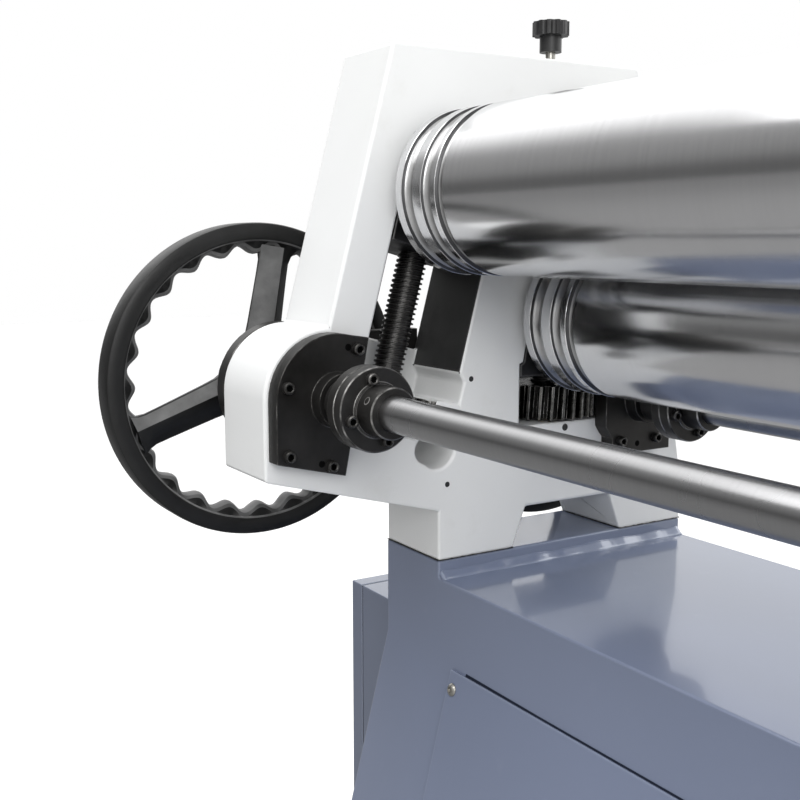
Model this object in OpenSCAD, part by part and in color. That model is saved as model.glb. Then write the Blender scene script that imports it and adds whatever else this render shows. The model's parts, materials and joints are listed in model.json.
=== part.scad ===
// Slip roll machine: three plate bending rolls between two cast side frames on a sheet steel base.
// X runs along the rolls, +Y points to the feed side and Z up. The origin is on the floor, midway
// between the frames. Side frames are drawn in their own plane: y is counted from the foot's near
// corner, z from the base top and x from the inner face, which faces the rolls.

/* [Rolls] */
// Diameter of the three rolls
roll_d = 120; // [100:1:124]
// Length of the roll face
roll_len = 1298; // [898:10:1598]
// Diameter of the roll journals
journal_d = 50; // [40:1:54]
// Gap between a roll's end and the side frame
roll_end_gap = 9; // [7:0.5:14]
// Gap between the bending roll's end and the side frame
bend_end_gap = 14; // [6:0.5:16]
// Gap between upper and lower roll at rest
nip = 1; // [0.5:0.1:3]
// Gap between upper and bending roll at rest
bend_gap = 3.4; // [3:0.1:8]
// Radii of the three wire grooves, from the roll's end inwards
groove_r = [7, 6, 4.5];
// Distances of the wire grooves from the roll's end
groove_x = [16, 39.5, 55.5];

/* [Side frames] */
// Thickness of a side frame
frame_t = 72; // [64:1:84]
// Depth of a frame over its feet
foot_span = 262; // [250:1:290]
// Depth of the near foot
foot_w = 73; // [60:1:80]
// Height of the frame above the upper roll's axis
frame_head = 81; // [60:1:110]
// Height of the arch between the feet
arch_h = 33; // [20:1:40]
// Thickening of the feet on the outer side
foot_flange = 5; // [2:0.5:8]
// Radius of the bosses round the worm shafts
boss_r = 50; // [46:1:56]
// Height of the lower roll's axis above the base top
lower_z = 187; // [180:1:200]
// Distance of the upper and lower rolls' axis from the foot's near corner
pinch_y = 132; // [126:1:136]

/* [Slides] */
// Lean of the bending slide
bend_tilt = 15; // [12:0.5:18]
// Offset of the bending slide's middle line, square to the slide
bend_u = -62.7; // [-66:0.1:-58]
// Width of the bending slot
slot_w = 85.4; // [80:0.1:90]
// Width of the lower slot
lower_slot_w = 108; // [100:1:112]
// Height of a bearing block
block_h = 94; // [84:1:96]
// Travel of the bending slide down from rest
bend_down = 60; // [30:1:60]
// Travel of the bending slide up from rest
bend_up = 2; // [0:0.5:2.5]
// Travel of the lower slide down from rest
lower_down = 8; // [4:0.5:8]
// Diameter of the lifting spindles
spindle_d = 24; // [16:1:28]

/* [Worm gears] */
// Module of worm and worm wheel
worm_m = 3; // [2.8:0.1:3.1]
// Teeth of a worm wheel
worm_teeth = 27; // [24:1:27]
// Pitch radius of the worm
worm_r = 26; // [24:0.5:28]
// Width of a worm wheel
wheel_w = 28; // [20:1:30]
// Height of the bending worm along the leaning slide
bend_worm_v = 107; // [104:1:110]
// Height of the feed worm above the base top
feed_worm_z = 116; // [114:1:118]
// Thickness of the inner worm plates
inner_plate_t = 14; // [10:1:16]
// Thickness of the outer worm plates
outer_plate_t = 12; // [11:1:16]

/* [Cross shafts and handwheels] */
// Diameter of the cross shafts and worm stubs
shaft_d = 24; // [18:1:26]
// Diameter of the coupling flanges
flange_d = 58; // [54:1:60]
// Thickness of one coupling flange
flange_t = 6; // [5:0.5:8]
// Diameter of the coupling hubs
hub_d = 35; // [32:1:38]
// Length of the inner coupling hub
hub_l = 20; // [14:1:26]
// Distance of the coupling joint from the frame
coupling_x = 66; // [60:1:74]
// Outside diameter of a handwheel
handwheel_d = 252; // [200:1:256]
// Distance of a handwheel's middle plane from the frame's inner face
handwheel_x = 125; // [116:1:135]
// Finger waves inside a handwheel's rim
rim_waves = 24; // [12:3:30]

/* [Base] */
// Height of the base
base_h = 760; // [650:5:850]
// Thickness of the pads under the frames
pad_t = 14; // [8:1:20]
// Height of the upright rim of the base
rim_h = 78; // [60:1:100]
// Spread of each side wall at the foot
flare = 157; // [100:1:200]
// Height of the upright foot of the base
kick_h = 60; // [40:1:120]
// Wall thickness of the base
base_wall = 5; // [3:0.5:8]
// Thickness of the floor plates
floor_t = 12; // [8:1:20]
// Diameter of the anchor holes
anchor_d = 16; // [12:1:20]
// Length of a side cover down the slope
cover_l = 540; // [300:5:560]

/* [Electrical box] */
// Width of the box
box_w = 200; // [160:5:240]
// Height of the box
box_h = 400; // [300:5:500]
// Depth of the box with its door
box_d = 116; // [90:2:180]
// Depth of the door
door_t = 18; // [12:1:24]
// Drop of the box under the base top
box_drop = 72; // [60:1:90]
// Diameter of the switch knob
knob_d = 44; // [30:1:60]

/* [Drive] */
// Module of the roll gears
gear_m = 5; // [4.8:0.1:5]
// Teeth of the upper and lower roll gears
roll_gear_teeth = 24;
// Teeth of the driven gear
drive_gear_teeth = 36; // [34:2:36]
// Teeth of the motor pinion
pinion_teeth = 18; // [14:2:18]
// Width of the gears
gear_w = 30; // [20:1:34]
// Diameter of the motor
motor_d = 150; // [120:1:180]
// Length of the motor
motor_l = 210; // [160:5:260]

/* [Clearances] */
// Radial gap of a running fit
fit = 0.05; // [0.02:0.01:0.08]
// Gap beside a sliding block
slide_gap = 0.2; // [0.1:0.05:0.4]
// Backlash across a tooth
backlash = 0.3; // [0.2:0.05:0.5]

/* [Hidden] */
$fn = 48;
eps = 1;
white_paint = "#eceded";
blue_paint = "#6f7787";
black_steel = "#262728";
bright_steel = "#c3c5c8";
iron = "#4a4b4d";
bronze = "#b08d57";

frame_gap = roll_len + 2 * roll_end_gap;
foot_mid = foot_span / 2;
upper_z = lower_z + roll_d + nip;
frame_h = upper_z + frame_head;
frame_mid = frame_t / 2;
journal_r = journal_d / 2;
bush_r = journal_r + 4;
spindle_r = spindle_d / 2;
shaft_r = shaft_d / 2;
// the leaning frame: u is square to the slide and v runs along it
function to_u(y, z) = y * cos(bend_tilt) - z * sin(bend_tilt);
function to_v(y, z) = y * sin(bend_tilt) + z * cos(bend_tilt);
function to_y(u, v) = u * cos(bend_tilt) + v * sin(bend_tilt);
function to_z(u, v) = v * cos(bend_tilt) - u * sin(bend_tilt);
reach_u = to_u(pinch_y, upper_z) - bend_u;
bend_v = to_v(pinch_y, upper_z) - sqrt(pow(roll_d + bend_gap, 2) - reach_u * reach_u);
bend_y = to_y(bend_u, bend_v);
bend_z = to_z(bend_u, bend_v);
sill_v = bend_v - block_h / 2 - bend_down - 10;
block_rise = block_h / 2 - 7;
top_cut = 13;
slot_top_v = bend_v + block_rise + bend_up + 2.5;
lower_slot_bottom = feed_worm_z - wheel_w / 2;
lower_slot_top = lower_z + block_rise + 6;
wheel_pitch_r = worm_m * worm_teeth / 2;
wheel_tip_r = wheel_pitch_r + 0.9 * worm_m;
worm_tip_r = worm_r + worm_m;
worm_root_r = worm_r - 1.2 * worm_m;
worm_bore_r = worm_tip_r + 3;
worm_distance = wheel_pitch_r + worm_r;
worm_pitch = PI * worm_m;
worm_lead = atan(worm_m / (2 * worm_r));
worm_l = frame_t - 26;
bend_worm_u = bend_u - worm_distance;
bend_worm_y = to_y(bend_worm_u, bend_worm_v);
bend_worm_z = to_z(bend_worm_u, bend_worm_v);
feed_worm_y = pinch_y + worm_distance;
underside_v = to_v(0, 40);
hub_r = hub_d / 2;
flange_r = flange_d / 2;
plate_hub_r = 20;
plate_hub_l = 12;
base_half = frame_gap / 2 + frame_t + foot_flange + 1;
skirt_z = base_h - rim_h;
foot_half = foot_mid + flare;
skirt_tilt = atan(flare / (skirt_z - kick_h));
cover_w = frame_gap - 44;
box_x = base_half + box_d;
box_top = base_h - box_drop;
roll_gear_x = frame_gap / 2 + frame_t + outer_plate_t + 4;
drive_gear_x = roll_gear_x + gear_w + 4;
motor_plate_x = drive_gear_x + gear_w + 8;
motor_plate_t = 15;
gear_cover_x = motor_plate_x + motor_plate_t + 3;
pinion_distance = gear_m * (drive_gear_teeth + pinion_teeth) / 2;
pinion_z = upper_z - pinion_distance;
gearbox_l = 112;

// helpers
module yz(h) rotate([90, 0, 90]) linear_extrude(h) children();
module bar(r, h) rotate([0, 90, 0]) cylinder(r = r, h = h);
module tilt() rotate([-bend_tilt, 0, 0]) children();
module left() translate([-frame_gap / 2, -foot_mid, base_h]) children();
module right() mirror([1, 0, 0]) left() children();
module both() {
    left() children();
    right() children();
}

// involute of the base circle br at radius r, as an angle
function inv(br, r) = sqrt(max(0, r * r / (br * br) - 1)) * 180 / PI - acos(min(1, br / r));
// one gear tooth about +x: m module, n teeth, tip radius, root radius
module tooth(m, n, tip, root) {
    pr = m * n / 2;
    br = pr * cos(20);
    low = max(br, root);
    half = 90 / n - backlash / 2 / pr * 180 / PI + inv(br, pr);
    radii = [for (i = [0:3]) low + (tip - low) * i / 3];
    side = [for (r = radii) r * [cos(half - inv(br, r)), sin(half - inv(br, r))]];
    foot = (root - 0.5) * [cos(half - inv(br, low)), sin(half - inv(br, low))];
    polygon(concat([[foot.x, foot.y]], side, [for (i = [3:-1:0]) [side[i].x, -side[i].y]],
        [[foot.x, -foot.y]]));
}
module gear_outline(m, n, turn) {
    tip = m * n / 2 + m * 0.95;
    root = m * n / 2 - 1.25 * m;
    circle(root);
    for (i = [0:n - 1]) rotate(i * 360 / n + turn) tooth(m, n, tip, root);
}

// side frames
module frame_outline() {
    boss_side = bend_worm_y - boss_r;
    feed_side = feed_worm_y + boss_r;
    corner_u = to_u(0, 0) - 140.5;
    shoulder_y = (corner_u + frame_h * sin(bend_tilt)) / cos(bend_tilt);
    boss_top = bend_worm_z + boss_r;
    polygon([[0, 0], [foot_w, 0], [foot_w + 13, arch_h], [foot_span - foot_w - 13, arch_h],
        [foot_span - foot_w, 0], [foot_span, 0], [foot_span, 40], [feed_side, feed_worm_z - 10],
        [feed_side, feed_worm_z], [feed_side - 10, feed_worm_z + 74], [pinch_y + 65, frame_h],
        [shoulder_y, frame_h], [(corner_u + boss_top * sin(bend_tilt)) / cos(bend_tilt), boss_top],
        [bend_worm_y, bend_worm_z], [boss_side, bend_worm_z],
        [boss_side, (underside_v - boss_side * sin(bend_tilt)) / cos(bend_tilt)], [0, 40]]);
    translate([bend_worm_y, bend_worm_z]) circle(boss_r);
    translate([feed_worm_y, feed_worm_z]) circle(boss_r);
}
module side_frame(flange) color(white_paint) difference() {
    union() {
        translate([-frame_t, 0, 0]) yz(frame_t) frame_outline();
        if (flange > 0) translate([-frame_t - flange, 0, 0]) yz(flange + eps) {
            polygon([[0, 0], [foot_w, 0], [foot_w + 12, arch_h - 3], [0, arch_h]]);
            polygon([[foot_span, 0], [foot_span - foot_w, 0], [foot_span - foot_w - 12, arch_h - 3],
                [foot_span, arch_h]]);
        }
    }
    // leaning slot, its cast pocket and the bore for the spindle's tail
    tilt() {
        translate([-frame_t - eps, 0, 0]) yz(frame_t + 2 * eps) polygon([
            [bend_u - slot_w / 2, sill_v], [bend_u + slot_w / 2, sill_v],
            [bend_u + slot_w / 2, slot_top_v - top_cut], [bend_u + slot_w / 2 - top_cut, slot_top_v],
            [bend_u - slot_w / 2 + top_cut, slot_top_v], [bend_u - slot_w / 2, slot_top_v - top_cut]]);
        translate([-frame_t + 5, 0, 0]) yz(frame_t) polygon([
            [bend_u - slot_w / 2, bend_worm_v + wheel_w / 2 + 2], [bend_u - slot_w / 2, sill_v + eps],
            [bend_u + slot_w / 2, sill_v + eps], [bend_u + slot_w / 2, sill_v - 13],
            [bend_u + slot_w / 2 + 6, sill_v - 19],
            [bend_u + slot_w / 2 + 6, bend_worm_v + wheel_w / 2 + 2]]);
        translate([-frame_mid, bend_u, bend_worm_v - wheel_w / 2 - 2]) cylinder(r = wheel_tip_r + 1.5,
            h = wheel_w + 5);
        translate([-frame_t + 20, bend_u + 38.2, bend_worm_v - 21.2]) bar(15.7, frame_t);
        translate([-frame_t + 20, bend_u + 29.5, bend_worm_v - 23.5]) bar(11, frame_t);
        translate([-frame_mid, bend_u, 0]) cylinder(r = spindle_r + 1, h = bend_worm_v);
    }
    translate([-frame_t - eps, bend_worm_y, bend_worm_z]) bar(worm_bore_r, frame_t + 2 * eps);
    // upright window of the lower slide, over its worm wheel
    translate([-frame_t - eps, pinch_y - lower_slot_w / 2, lower_slot_bottom - 2])
        cube([frame_t + 2 * eps, lower_slot_w, lower_slot_top - lower_slot_bottom + 2]);
    translate([-frame_mid, pinch_y, arch_h - eps]) cylinder(r = spindle_r + 1, h = lower_slot_bottom);
    translate([-frame_t - eps, feed_worm_y, feed_worm_z]) bar(worm_bore_r, frame_t + 2 * eps);
    // bearing of the upper roll and the lock stud over it
    translate([-frame_t - eps, pinch_y, upper_z]) bar(bush_r, frame_t + 2 * eps);
    translate([-frame_mid, pinch_y, upper_z]) cylinder(r = 4 + fit, h = frame_h);
    for (p = frame_bolt_places) translate([p.x, p.y, -eps]) cylinder(r = 6 + fit, h = 30 + eps);
}
frame_bolt_places = [for (x = [-frame_t + 18, -18], y = [20, foot_span - 20]) [x, y]];
module left_frame() left() side_frame(foot_flange);
// the gear cover stands on the other frame's outer side
module right_frame() right() side_frame(0);
module frame_bolts() color(black_steel) {
    both() for (p = frame_bolt_places) translate([p.x, p.y, 0]) {
        translate([0, 0, -pad_t - base_wall - 8.2]) cylinder(r = 9, h = 8);
        translate([0, 0, -pad_t - base_wall]) cylinder(r = 6, h = pad_t + base_wall + 28);
    }
    for (y = bracket_bolt_y) translate([base_half - base_wall - 7.2, y, base_h - 60]) {
        bar(9, 7);
        bar(5, 7.2 + base_wall + 12);
    }
}
bracket_bolt_y = [-75, 75];

// worm plates: inner ones carry the worm shaft on the roll side, outer ones close the frame
module bending_plate_outline() translate([bend_worm_y, bend_worm_z]) intersection() {
    union() {
        circle(boss_r - 3);
        polygon([[3 - boss_r, 0], [3 - boss_r, -0.85 * boss_r], [9, -1.13 * boss_r], [27.3, 0.86 * boss_r],
            [0, boss_r - 3]]);
    }
    // cut off beside the slide, clear of the worm wheel
    polygon([[-2 * boss_r, 2 * boss_r], [38, 2 * boss_r], [-1.6, -2 * boss_r], [-2 * boss_r, -2 * boss_r]]);
}
module feed_plate_outline() difference() {
    union() {
        translate([feed_worm_y, feed_worm_z]) circle(boss_r - 4);
        translate([feed_worm_y - 33, feed_worm_z - boss_r + 4]) square([66, boss_r]);
    }
    for (z = [lower_z, lower_z - lower_down]) translate([pinch_y, z]) circle(roll_d / 2 + 3);
    // clear of the worm wheel
    translate([pinch_y - 50, 0]) square([76, 400]);
}
// a plate with its hub, bored for the worm shaft and its screws
module inner_plate(y, z, places) difference() {
    union() {
        yz(inner_plate_t) children();
        translate([inner_plate_t - eps, y, z]) bar(plate_hub_r, plate_hub_l + eps);
    }
    translate([-eps, y, z]) bar(shaft_r + fit, inner_plate_t + plate_hub_l + 2 * eps);
    for (p = places) translate([-eps, p.x, p.y]) bar(3.3, inner_plate_t + 2 * eps);
}
bending_screws = [for (p = [[-40.2, 0.6], [7.2, 38.2], [-27.5, -45.9], [7.5, -47.1]])
    [to_y(bend_worm_u + p.x, bend_worm_v + p.y), to_z(bend_worm_u + p.x, bend_worm_v + p.y)]];
feed_screws = [for (p = [[-24, -35], [16, -35.3], [38, 10], [14, 38]])
    [feed_worm_y + p.x, feed_worm_z + p.y]];
module bending_worm_plates() color(black_steel) both()
    inner_plate(bend_worm_y, bend_worm_z, bending_screws) bending_plate_outline();
module feed_worm_plates() color(black_steel) both()
    inner_plate(feed_worm_y, feed_worm_z, feed_screws) feed_plate_outline();
module outer_worm_plates() color(black_steel) both() {
    difference() {
        translate([-frame_t - outer_plate_t, 0, 0]) yz(outer_plate_t) {
            translate([bend_worm_y, bend_worm_z]) circle(boss_r);
            polygon([[bend_worm_y, bend_worm_z - boss_r + 6], [bend_worm_y, bend_worm_z + 40],
                [26, bend_worm_z + 40], [26, bend_worm_z - 20], [-10, bend_worm_z - boss_r - 10]]);
        }
        tilt() translate([-frame_mid, bend_u, bend_worm_v - wheel_w / 2 - 2]) cylinder(
            r = wheel_tip_r + 1.5, h = wheel_w + 5);
        translate([-frame_t - outer_plate_t - eps, bend_worm_y, bend_worm_z]) bar(shaft_r + fit,
            outer_plate_t + 2 * eps);
    }
    difference() {
        translate([-frame_t - outer_plate_t, 0, 0]) yz(outer_plate_t) {
            translate([feed_worm_y, feed_worm_z]) circle(boss_r - 2);
            translate([pinch_y - 50, feed_worm_z - 20]) square([feed_worm_y - pinch_y + 50, 40]);
        }
        translate([-frame_mid, pinch_y, feed_worm_z - wheel_w / 2 - 2]) cylinder(
            r = wheel_tip_r + 1.5, h = wheel_w + 5);
        translate([-frame_t - outer_plate_t - eps, feed_worm_y, feed_worm_z]) bar(shaft_r + fit,
            outer_plate_t + 2 * eps);
    }
}
module worm_plate_screws() color(black_steel) both() for (p = concat(bending_screws, feed_screws))
    translate([0, p.x, p.y]) difference() {
        union() {
            bar(3.3 - fit, inner_plate_t + eps);
            translate([inner_plate_t, 0, 0]) bar(4.3, 5);
        }
        translate([inner_plate_t + 2, 0, 0]) rotate([0, 90, 0]) cylinder(r = 2.3, h = 4, $fn = 6);
    }
module thrust_washers() color(bronze) both() {
    tilt() translate([-frame_mid, bend_u, bend_worm_v - wheel_w / 2 - 2]) difference() {
        cylinder(r = 22, h = 1.7);
        translate([0, 0, -eps]) cylinder(r = spindle_r + 1, h = 4);
    }
    translate([-frame_mid, pinch_y, lower_slot_bottom - 2]) difference() {
        cylinder(r = 22, h = 1.7);
        translate([0, 0, -eps]) cylinder(r = spindle_r + 1, h = 4);
    }
}

// rolls, with the frame-side journals and the long journal at the drive end
module roll(end_gap, journal_end) color(bright_steel) difference() {
    union() {
        translate([end_gap - frame_gap / 2, 0, 0]) bar(roll_d / 2, frame_gap - 2 * end_gap);
        translate([-frame_gap / 2 - frame_t, 0, 0]) bar(journal_r, frame_t + frame_gap / 2 + journal_end);
    }
    for (i = [0:len(groove_r) - 1]) translate([end_gap + groove_x[i] - frame_gap / 2, 0, 0])
        rotate([0, 90, 0]) rotate_extrude() translate([roll_d / 2 + 1, 0]) circle(groove_r[i], $fn = 24);
}
module at_upper() translate([0, pinch_y - foot_mid, base_h + upper_z]) children();
module at_lower() translate([0, pinch_y - foot_mid, base_h + lower_z]) children();
module at_bending() translate([0, bend_y - foot_mid, base_h + bend_z]) children();
module upper_roll() at_upper() roll(roll_end_gap, drive_gear_x + gear_w);
module lower_roll() at_lower() roll(roll_end_gap, roll_gear_x + gear_w);
module bending_roll() at_bending() roll(bend_end_gap, frame_gap / 2 + frame_t);
module bush() translate([-frame_t, 0, 0]) difference() {
    bar(bush_r - fit, frame_t);
    translate([-eps, 0, 0]) bar(journal_r + fit, frame_t + 2 * eps);
}
module upper_bushes() color(bronze) both() translate([0, pinch_y, upper_z]) bush();
module lower_bushes() color(bronze) both() translate([0, pinch_y, lower_z]) bush();
module bending_bushes() color(bronze) both() translate([0, bend_y, bend_z]) bush();

// bearing blocks and their spindles, which rise and sink through the worm wheels
module block(w, grip) difference() {
    edge = w / 2 - slide_gap;
    translate([-frame_t, 0, 0]) yz(frame_t) polygon([[-edge, -block_h / 2], [edge, -block_h / 2],
        [edge, block_rise - top_cut], [edge - top_cut, block_rise], [top_cut - edge, block_rise],
        [-edge, block_rise - top_cut]]);
    translate([-frame_t - eps, 0, 0]) bar(bush_r, frame_t + 2 * eps);
    translate([-frame_mid, 0, -block_h / 2 - eps]) cylinder(r = spindle_r + fit, h = grip + eps);
}
spindle_grip = block_h / 2 - bush_r - 4;
module bending_block() color(iron) tilt() translate([0, bend_u, bend_v]) block(slot_w, spindle_grip);
module lower_block() color(iron) difference() {
    translate([0, pinch_y, lower_z]) block(lower_slot_w, spindle_grip);
    // relieved for the worm over the whole travel
    for (z = [feed_worm_z, feed_worm_z + lower_down]) translate([-frame_t - eps, feed_worm_y, z])
        bar(worm_tip_r + 2, frame_t + 2 * eps);
}
module bending_block_left() left() bending_block();
module bending_block_right() right() bending_block();
module lower_block_left() left() lower_block();
module lower_block_right() right() lower_block();
module bending_spindles() color(black_steel) both() tilt() translate([-frame_mid, bend_u,
    bend_worm_v - wheel_w / 2 - bend_up - 8]) cylinder(r = spindle_r, h = bend_v - block_h / 2
    + spindle_grip - 0.5 - bend_worm_v + wheel_w / 2 + bend_up + 8);
module lower_spindles() color(black_steel) both() translate([-frame_mid, pinch_y, lower_slot_bottom - 10])
    cylinder(r = spindle_r, h = lower_z - block_h / 2 + spindle_grip - 0.5 - lower_slot_bottom + 10);

// worm gears: the wheel's teeth are gashed at the worm's lead angle
module worm_wheel(contact) color(iron) difference() {
    intersection() {
        cylinder(r = wheel_tip_r, h = wheel_w, center = true);
        union() {
            cylinder(r = wheel_pitch_r - 1.25 * worm_m, h = wheel_w, center = true);
            for (i = [0:worm_teeth - 1]) rotate(contact + i * 360 / worm_teeth) rotate([-worm_lead, 0, 0])
                linear_extrude(wheel_w + 6, center = true) tooth(worm_m, worm_teeth, wheel_tip_r + 1,
                    wheel_pitch_r - 1.25 * worm_m);
        }
    }
    cylinder(r = spindle_r + fit, h = wheel_w + 2, center = true);
}
module bending_wheel(x) translate([x, -foot_mid, base_h]) tilt() translate([0, bend_u, bend_worm_v])
    worm_wheel(-90);
module lower_wheel(x) translate([x, pinch_y - foot_mid, base_h + feed_worm_z]) worm_wheel(90);
wheel_x = frame_gap / 2 + frame_mid;
module bending_wheel_left() bending_wheel(-wheel_x);
module bending_wheel_right() bending_wheel(wheel_x);
module lower_wheel_left() lower_wheel(-wheel_x);
module lower_wheel_right() lower_wheel(wheel_x);
// a single-start right-hand worm about +X, with a gap facing the angle contact at its middle
module worm(contact) {
    crest = worm_pitch / 4 - tan(20) * worm_m - backlash / 2;
    root = worm_pitch / 4 + tan(20) * 1.2 * worm_m - backlash / 2;
    at = function (a, r) r * [cos(360 * a / worm_pitch), sin(360 * a / worm_pitch)];
    rotate([contact + 180 - 180 * worm_l / worm_pitch, 0, 0]) translate([-worm_l / 2, 0, 0])
        rotate([90, 0, 90]) linear_extrude(worm_l, twist = -360 * worm_l / worm_pitch,
            slices = round(12 * worm_l / worm_pitch), $fn = 12)
            polygon([at(-root, worm_root_r), at(-(crest + root) / 2, worm_r - 0.2), at(-crest, worm_tip_r),
                at(-crest / 2, worm_tip_r), at(0, worm_tip_r), at(crest / 2, worm_tip_r),
                at(crest, worm_tip_r), at((crest + root) / 2, worm_r - 0.2), at(root, worm_root_r),
                at((root + worm_pitch / 2) / 2, worm_root_r), at(worm_pitch / 2, worm_root_r),
                at(-(root + worm_pitch / 2) / 2, worm_root_r)]);
}
module worm_shaft(side, contact) color(black_steel) {
    inner_end = frame_mid + coupling_x - 0.5;
    outer_end = side < 0 ? handwheel_x - frame_mid + 16 : frame_mid + outer_plate_t;
    translate([side * wheel_x, 0, 0]) {
        translate([side < 0 ? -outer_end : -inner_end, 0, 0]) bar(shaft_r, inner_end + outer_end);
        worm(contact);
        translate([0.5 - frame_mid, 0, 0]) bar(shaft_r + 5, frame_t - 1);
    }
}
module at_bending_worm() translate([0, bend_worm_y - foot_mid, base_h + bend_worm_z]) children();
module at_feed_worm() translate([0, feed_worm_y - foot_mid, base_h + feed_worm_z]) children();
module bending_worm_left() at_bending_worm() worm_shaft(-1, -bend_tilt);
module bending_worm_right() at_bending_worm() worm_shaft(1, -bend_tilt);
module feed_worm_left() at_feed_worm() worm_shaft(-1, 180);
module feed_worm_right() at_feed_worm() worm_shaft(1, 180);

// flanged couplings and cross shafts
flange_screw_r = 22;
module coupling_half(length) difference() {
    union() {
        bar(flange_r, flange_t);
        bar(hub_r, flange_t + length);
    }
    translate([-eps, 0, 0]) bar(shaft_r + fit, flange_t + length + 2 * eps);
    for (a = [0:90:270]) rotate([a + 15, 0, 0]) translate([-eps, 0, flange_screw_r])
        bar(2.5 + fit, flange_t + 2 * eps);
}
module couplings() color(black_steel) for (side = [0, 1]) mirror([side, 0, 0])
    translate([-frame_gap / 2 + coupling_x, 0, 0]) {
        coupling_half(hub_l);
        mirror([1, 0, 0]) coupling_half(coupling_x - flange_t - inner_plate_t - plate_hub_l - 2);
    }
module coupling_screws() color(black_steel) for (side = [0, 1]) mirror([side, 0, 0])
    translate([-frame_gap / 2 + coupling_x, 0, 0]) for (a = [0:90:270]) rotate([a + 15, 0, 0])
        translate([-flange_t - 3, 0, flange_screw_r]) {
            bar(2.5, 2 * flange_t + 3);
            translate([2 * flange_t + 3, 0, 0]) bar(4.1, 4.5);
            rotate([0, 90, 0]) rotate(30) cylinder(r = 4.4, h = 3, $fn = 6);
        }
module cross_shaft() color(bright_steel) translate([-frame_gap / 2 + coupling_x + 0.5, 0, 0])
    bar(shaft_r, frame_gap - 2 * coupling_x - 1);
module bending_cross_shaft() at_bending_worm() cross_shaft();
module feed_cross_shaft() at_feed_worm() cross_shaft();
module bending_couplings() at_bending_worm() couplings();
module feed_couplings() at_feed_worm() couplings();
module bending_coupling_screws() at_bending_worm() coupling_screws();
module feed_coupling_screws() at_feed_worm() coupling_screws();

// handwheel: cast hub, three tapered spokes and a rim with finger waves inside
rim_w = 24;
module handwheel(turn) color(black_steel) translate([-frame_gap / 2 - handwheel_x, 0, 0]) {
    rim_mid = handwheel_d / 2 - rim_w / 2;
    difference() {
        rotate([0, 90, 0]) rotate_extrude($fn = 96) translate([rim_mid, 0]) intersection() {
            circle(14.5);
            square([rim_w, 26], center = true);
        }
        for (i = [0:rim_waves - 1]) rotate([(i + 0.5) * 360 / rim_waves, 0, 0])
            translate([-16, 0, rim_mid - rim_w / 2 - 4]) bar(9, 32);
    }
    difference() {
        union() {
            translate([-16, 0, 0]) bar(26, 36);
            for (a = [0:120:240]) rotate([turn + a, 0, 0]) {
                translate([-5, 0, 0]) yz(10) polygon([[20, -16], [20, 16], [rim_mid - 4, 12.5],
                    [rim_mid - 4, -12.5]]);
                translate([-8, 0, 0]) yz(16) polygon([[20, -8], [20, 8], [rim_mid - 4, 5],
                    [rim_mid - 4, -5]]);
            }
        }
        translate([-17, 0, 0]) bar(shaft_r + fit, 40);
    }
}
module bending_handwheel() at_bending_worm() handwheel(80);
module feed_handwheel() at_feed_worm() handwheel(50);

// base of folded sheet, with sloping side walls and screwed covers
module base_outline(inset) polygon([[-foot_half + inset, floor_t - (inset > 0 ? eps : 0)],
    [-foot_half + inset, kick_h],
    [-foot_mid + inset, skirt_z], [-foot_mid + inset, base_h - pad_t - inset],
    [foot_mid - inset, base_h - pad_t - inset], [foot_mid - inset, skirt_z], [foot_half - inset, kick_h],
    [foot_half - inset, floor_t - (inset > 0 ? eps : 0)]]);
module on_skirt(side) mirror([0, side, 0]) translate([0, -foot_mid, skirt_z]) rotate([90 - skirt_tilt, 0, 0])
    children();
module base_cabinet() color(blue_paint) difference() {
    union() {
        translate([-base_half, 0, 0]) yz(2 * base_half) base_outline(0);
        // raised strips under the side frames
        both() translate([frame_gap / 2 - base_half, 0, -pad_t - eps])
            cube([base_half - frame_gap / 2, foot_span, pad_t + eps]);
    }
    translate([-base_half + base_wall, 0, 0]) yz(2 * base_half - 2 * base_wall) base_outline(base_wall);
    for (side = [0, 1]) on_skirt(side) translate([-cover_w / 2 + 24, -cover_l + 18, -2 * base_wall])
        cube([cover_w - 48, cover_l - 50, 4 * base_wall]);
    for (p = frame_bolt_places) for (side = [0, 1]) mirror([side, 0, 0]) left()
        translate([p.x, p.y, -pad_t - base_wall - eps])
            cylinder(r = 6 + fit, h = pad_t + base_wall + 2 * eps);
    for (y = bracket_bolt_y) translate([base_half - base_wall - eps, y, base_h - 60]) bar(5 + fit,
        base_wall + 2 * eps);
}
plate_reach = 38;
anchor_x = base_half - 60;
anchor_y = foot_half + plate_reach / 2;
module floor_plates() color(blue_paint) for (x = [-anchor_x, anchor_x]) difference() {
    translate([x - 50, -foot_half - plate_reach, 0]) cube([100, 2 * (foot_half + plate_reach), floor_t]);
    for (y = [-anchor_y, anchor_y]) translate([x, y, -eps]) cylinder(d = anchor_d, h = floor_t + 2 * eps);
}
cover_t = 2.5;
module side_cover() on_skirt(0) difference() {
    translate([-cover_w / 2, -cover_l - 3, 0]) cube([cover_w, cover_l, cover_t]);
    for (p = cover_screw_places) translate([p.x, p.y, -eps]) cylinder(r = 3 + fit, h = cover_t + 2 * eps);
}
cover_screw_places = [for (x = [-cover_w / 2 + 7, 0, cover_w / 2 - 7], y = [-17, -cover_l + 12]) [x, y]];
module bending_side_cover() color(blue_paint) side_cover();
module feed_side_cover() color(blue_paint) mirror([0, 1, 0]) side_cover();
module side_cover_screws() color(bright_steel) for (side = [0, 1]) on_skirt(side)
    for (p = cover_screw_places) translate([p.x, p.y, cover_t]) difference() {
        union() {
            intersection() {
                translate([0, 0, -3.5]) sphere(6.5);
                cylinder(r = 5, h = 3);
            }
            translate([0, 0, -cover_t]) cylinder(r = 3, h = cover_t + eps);
        }
        translate([0, 0, 1.4]) cylinder(r = 2, h = 3, $fn = 6);
    }

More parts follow.
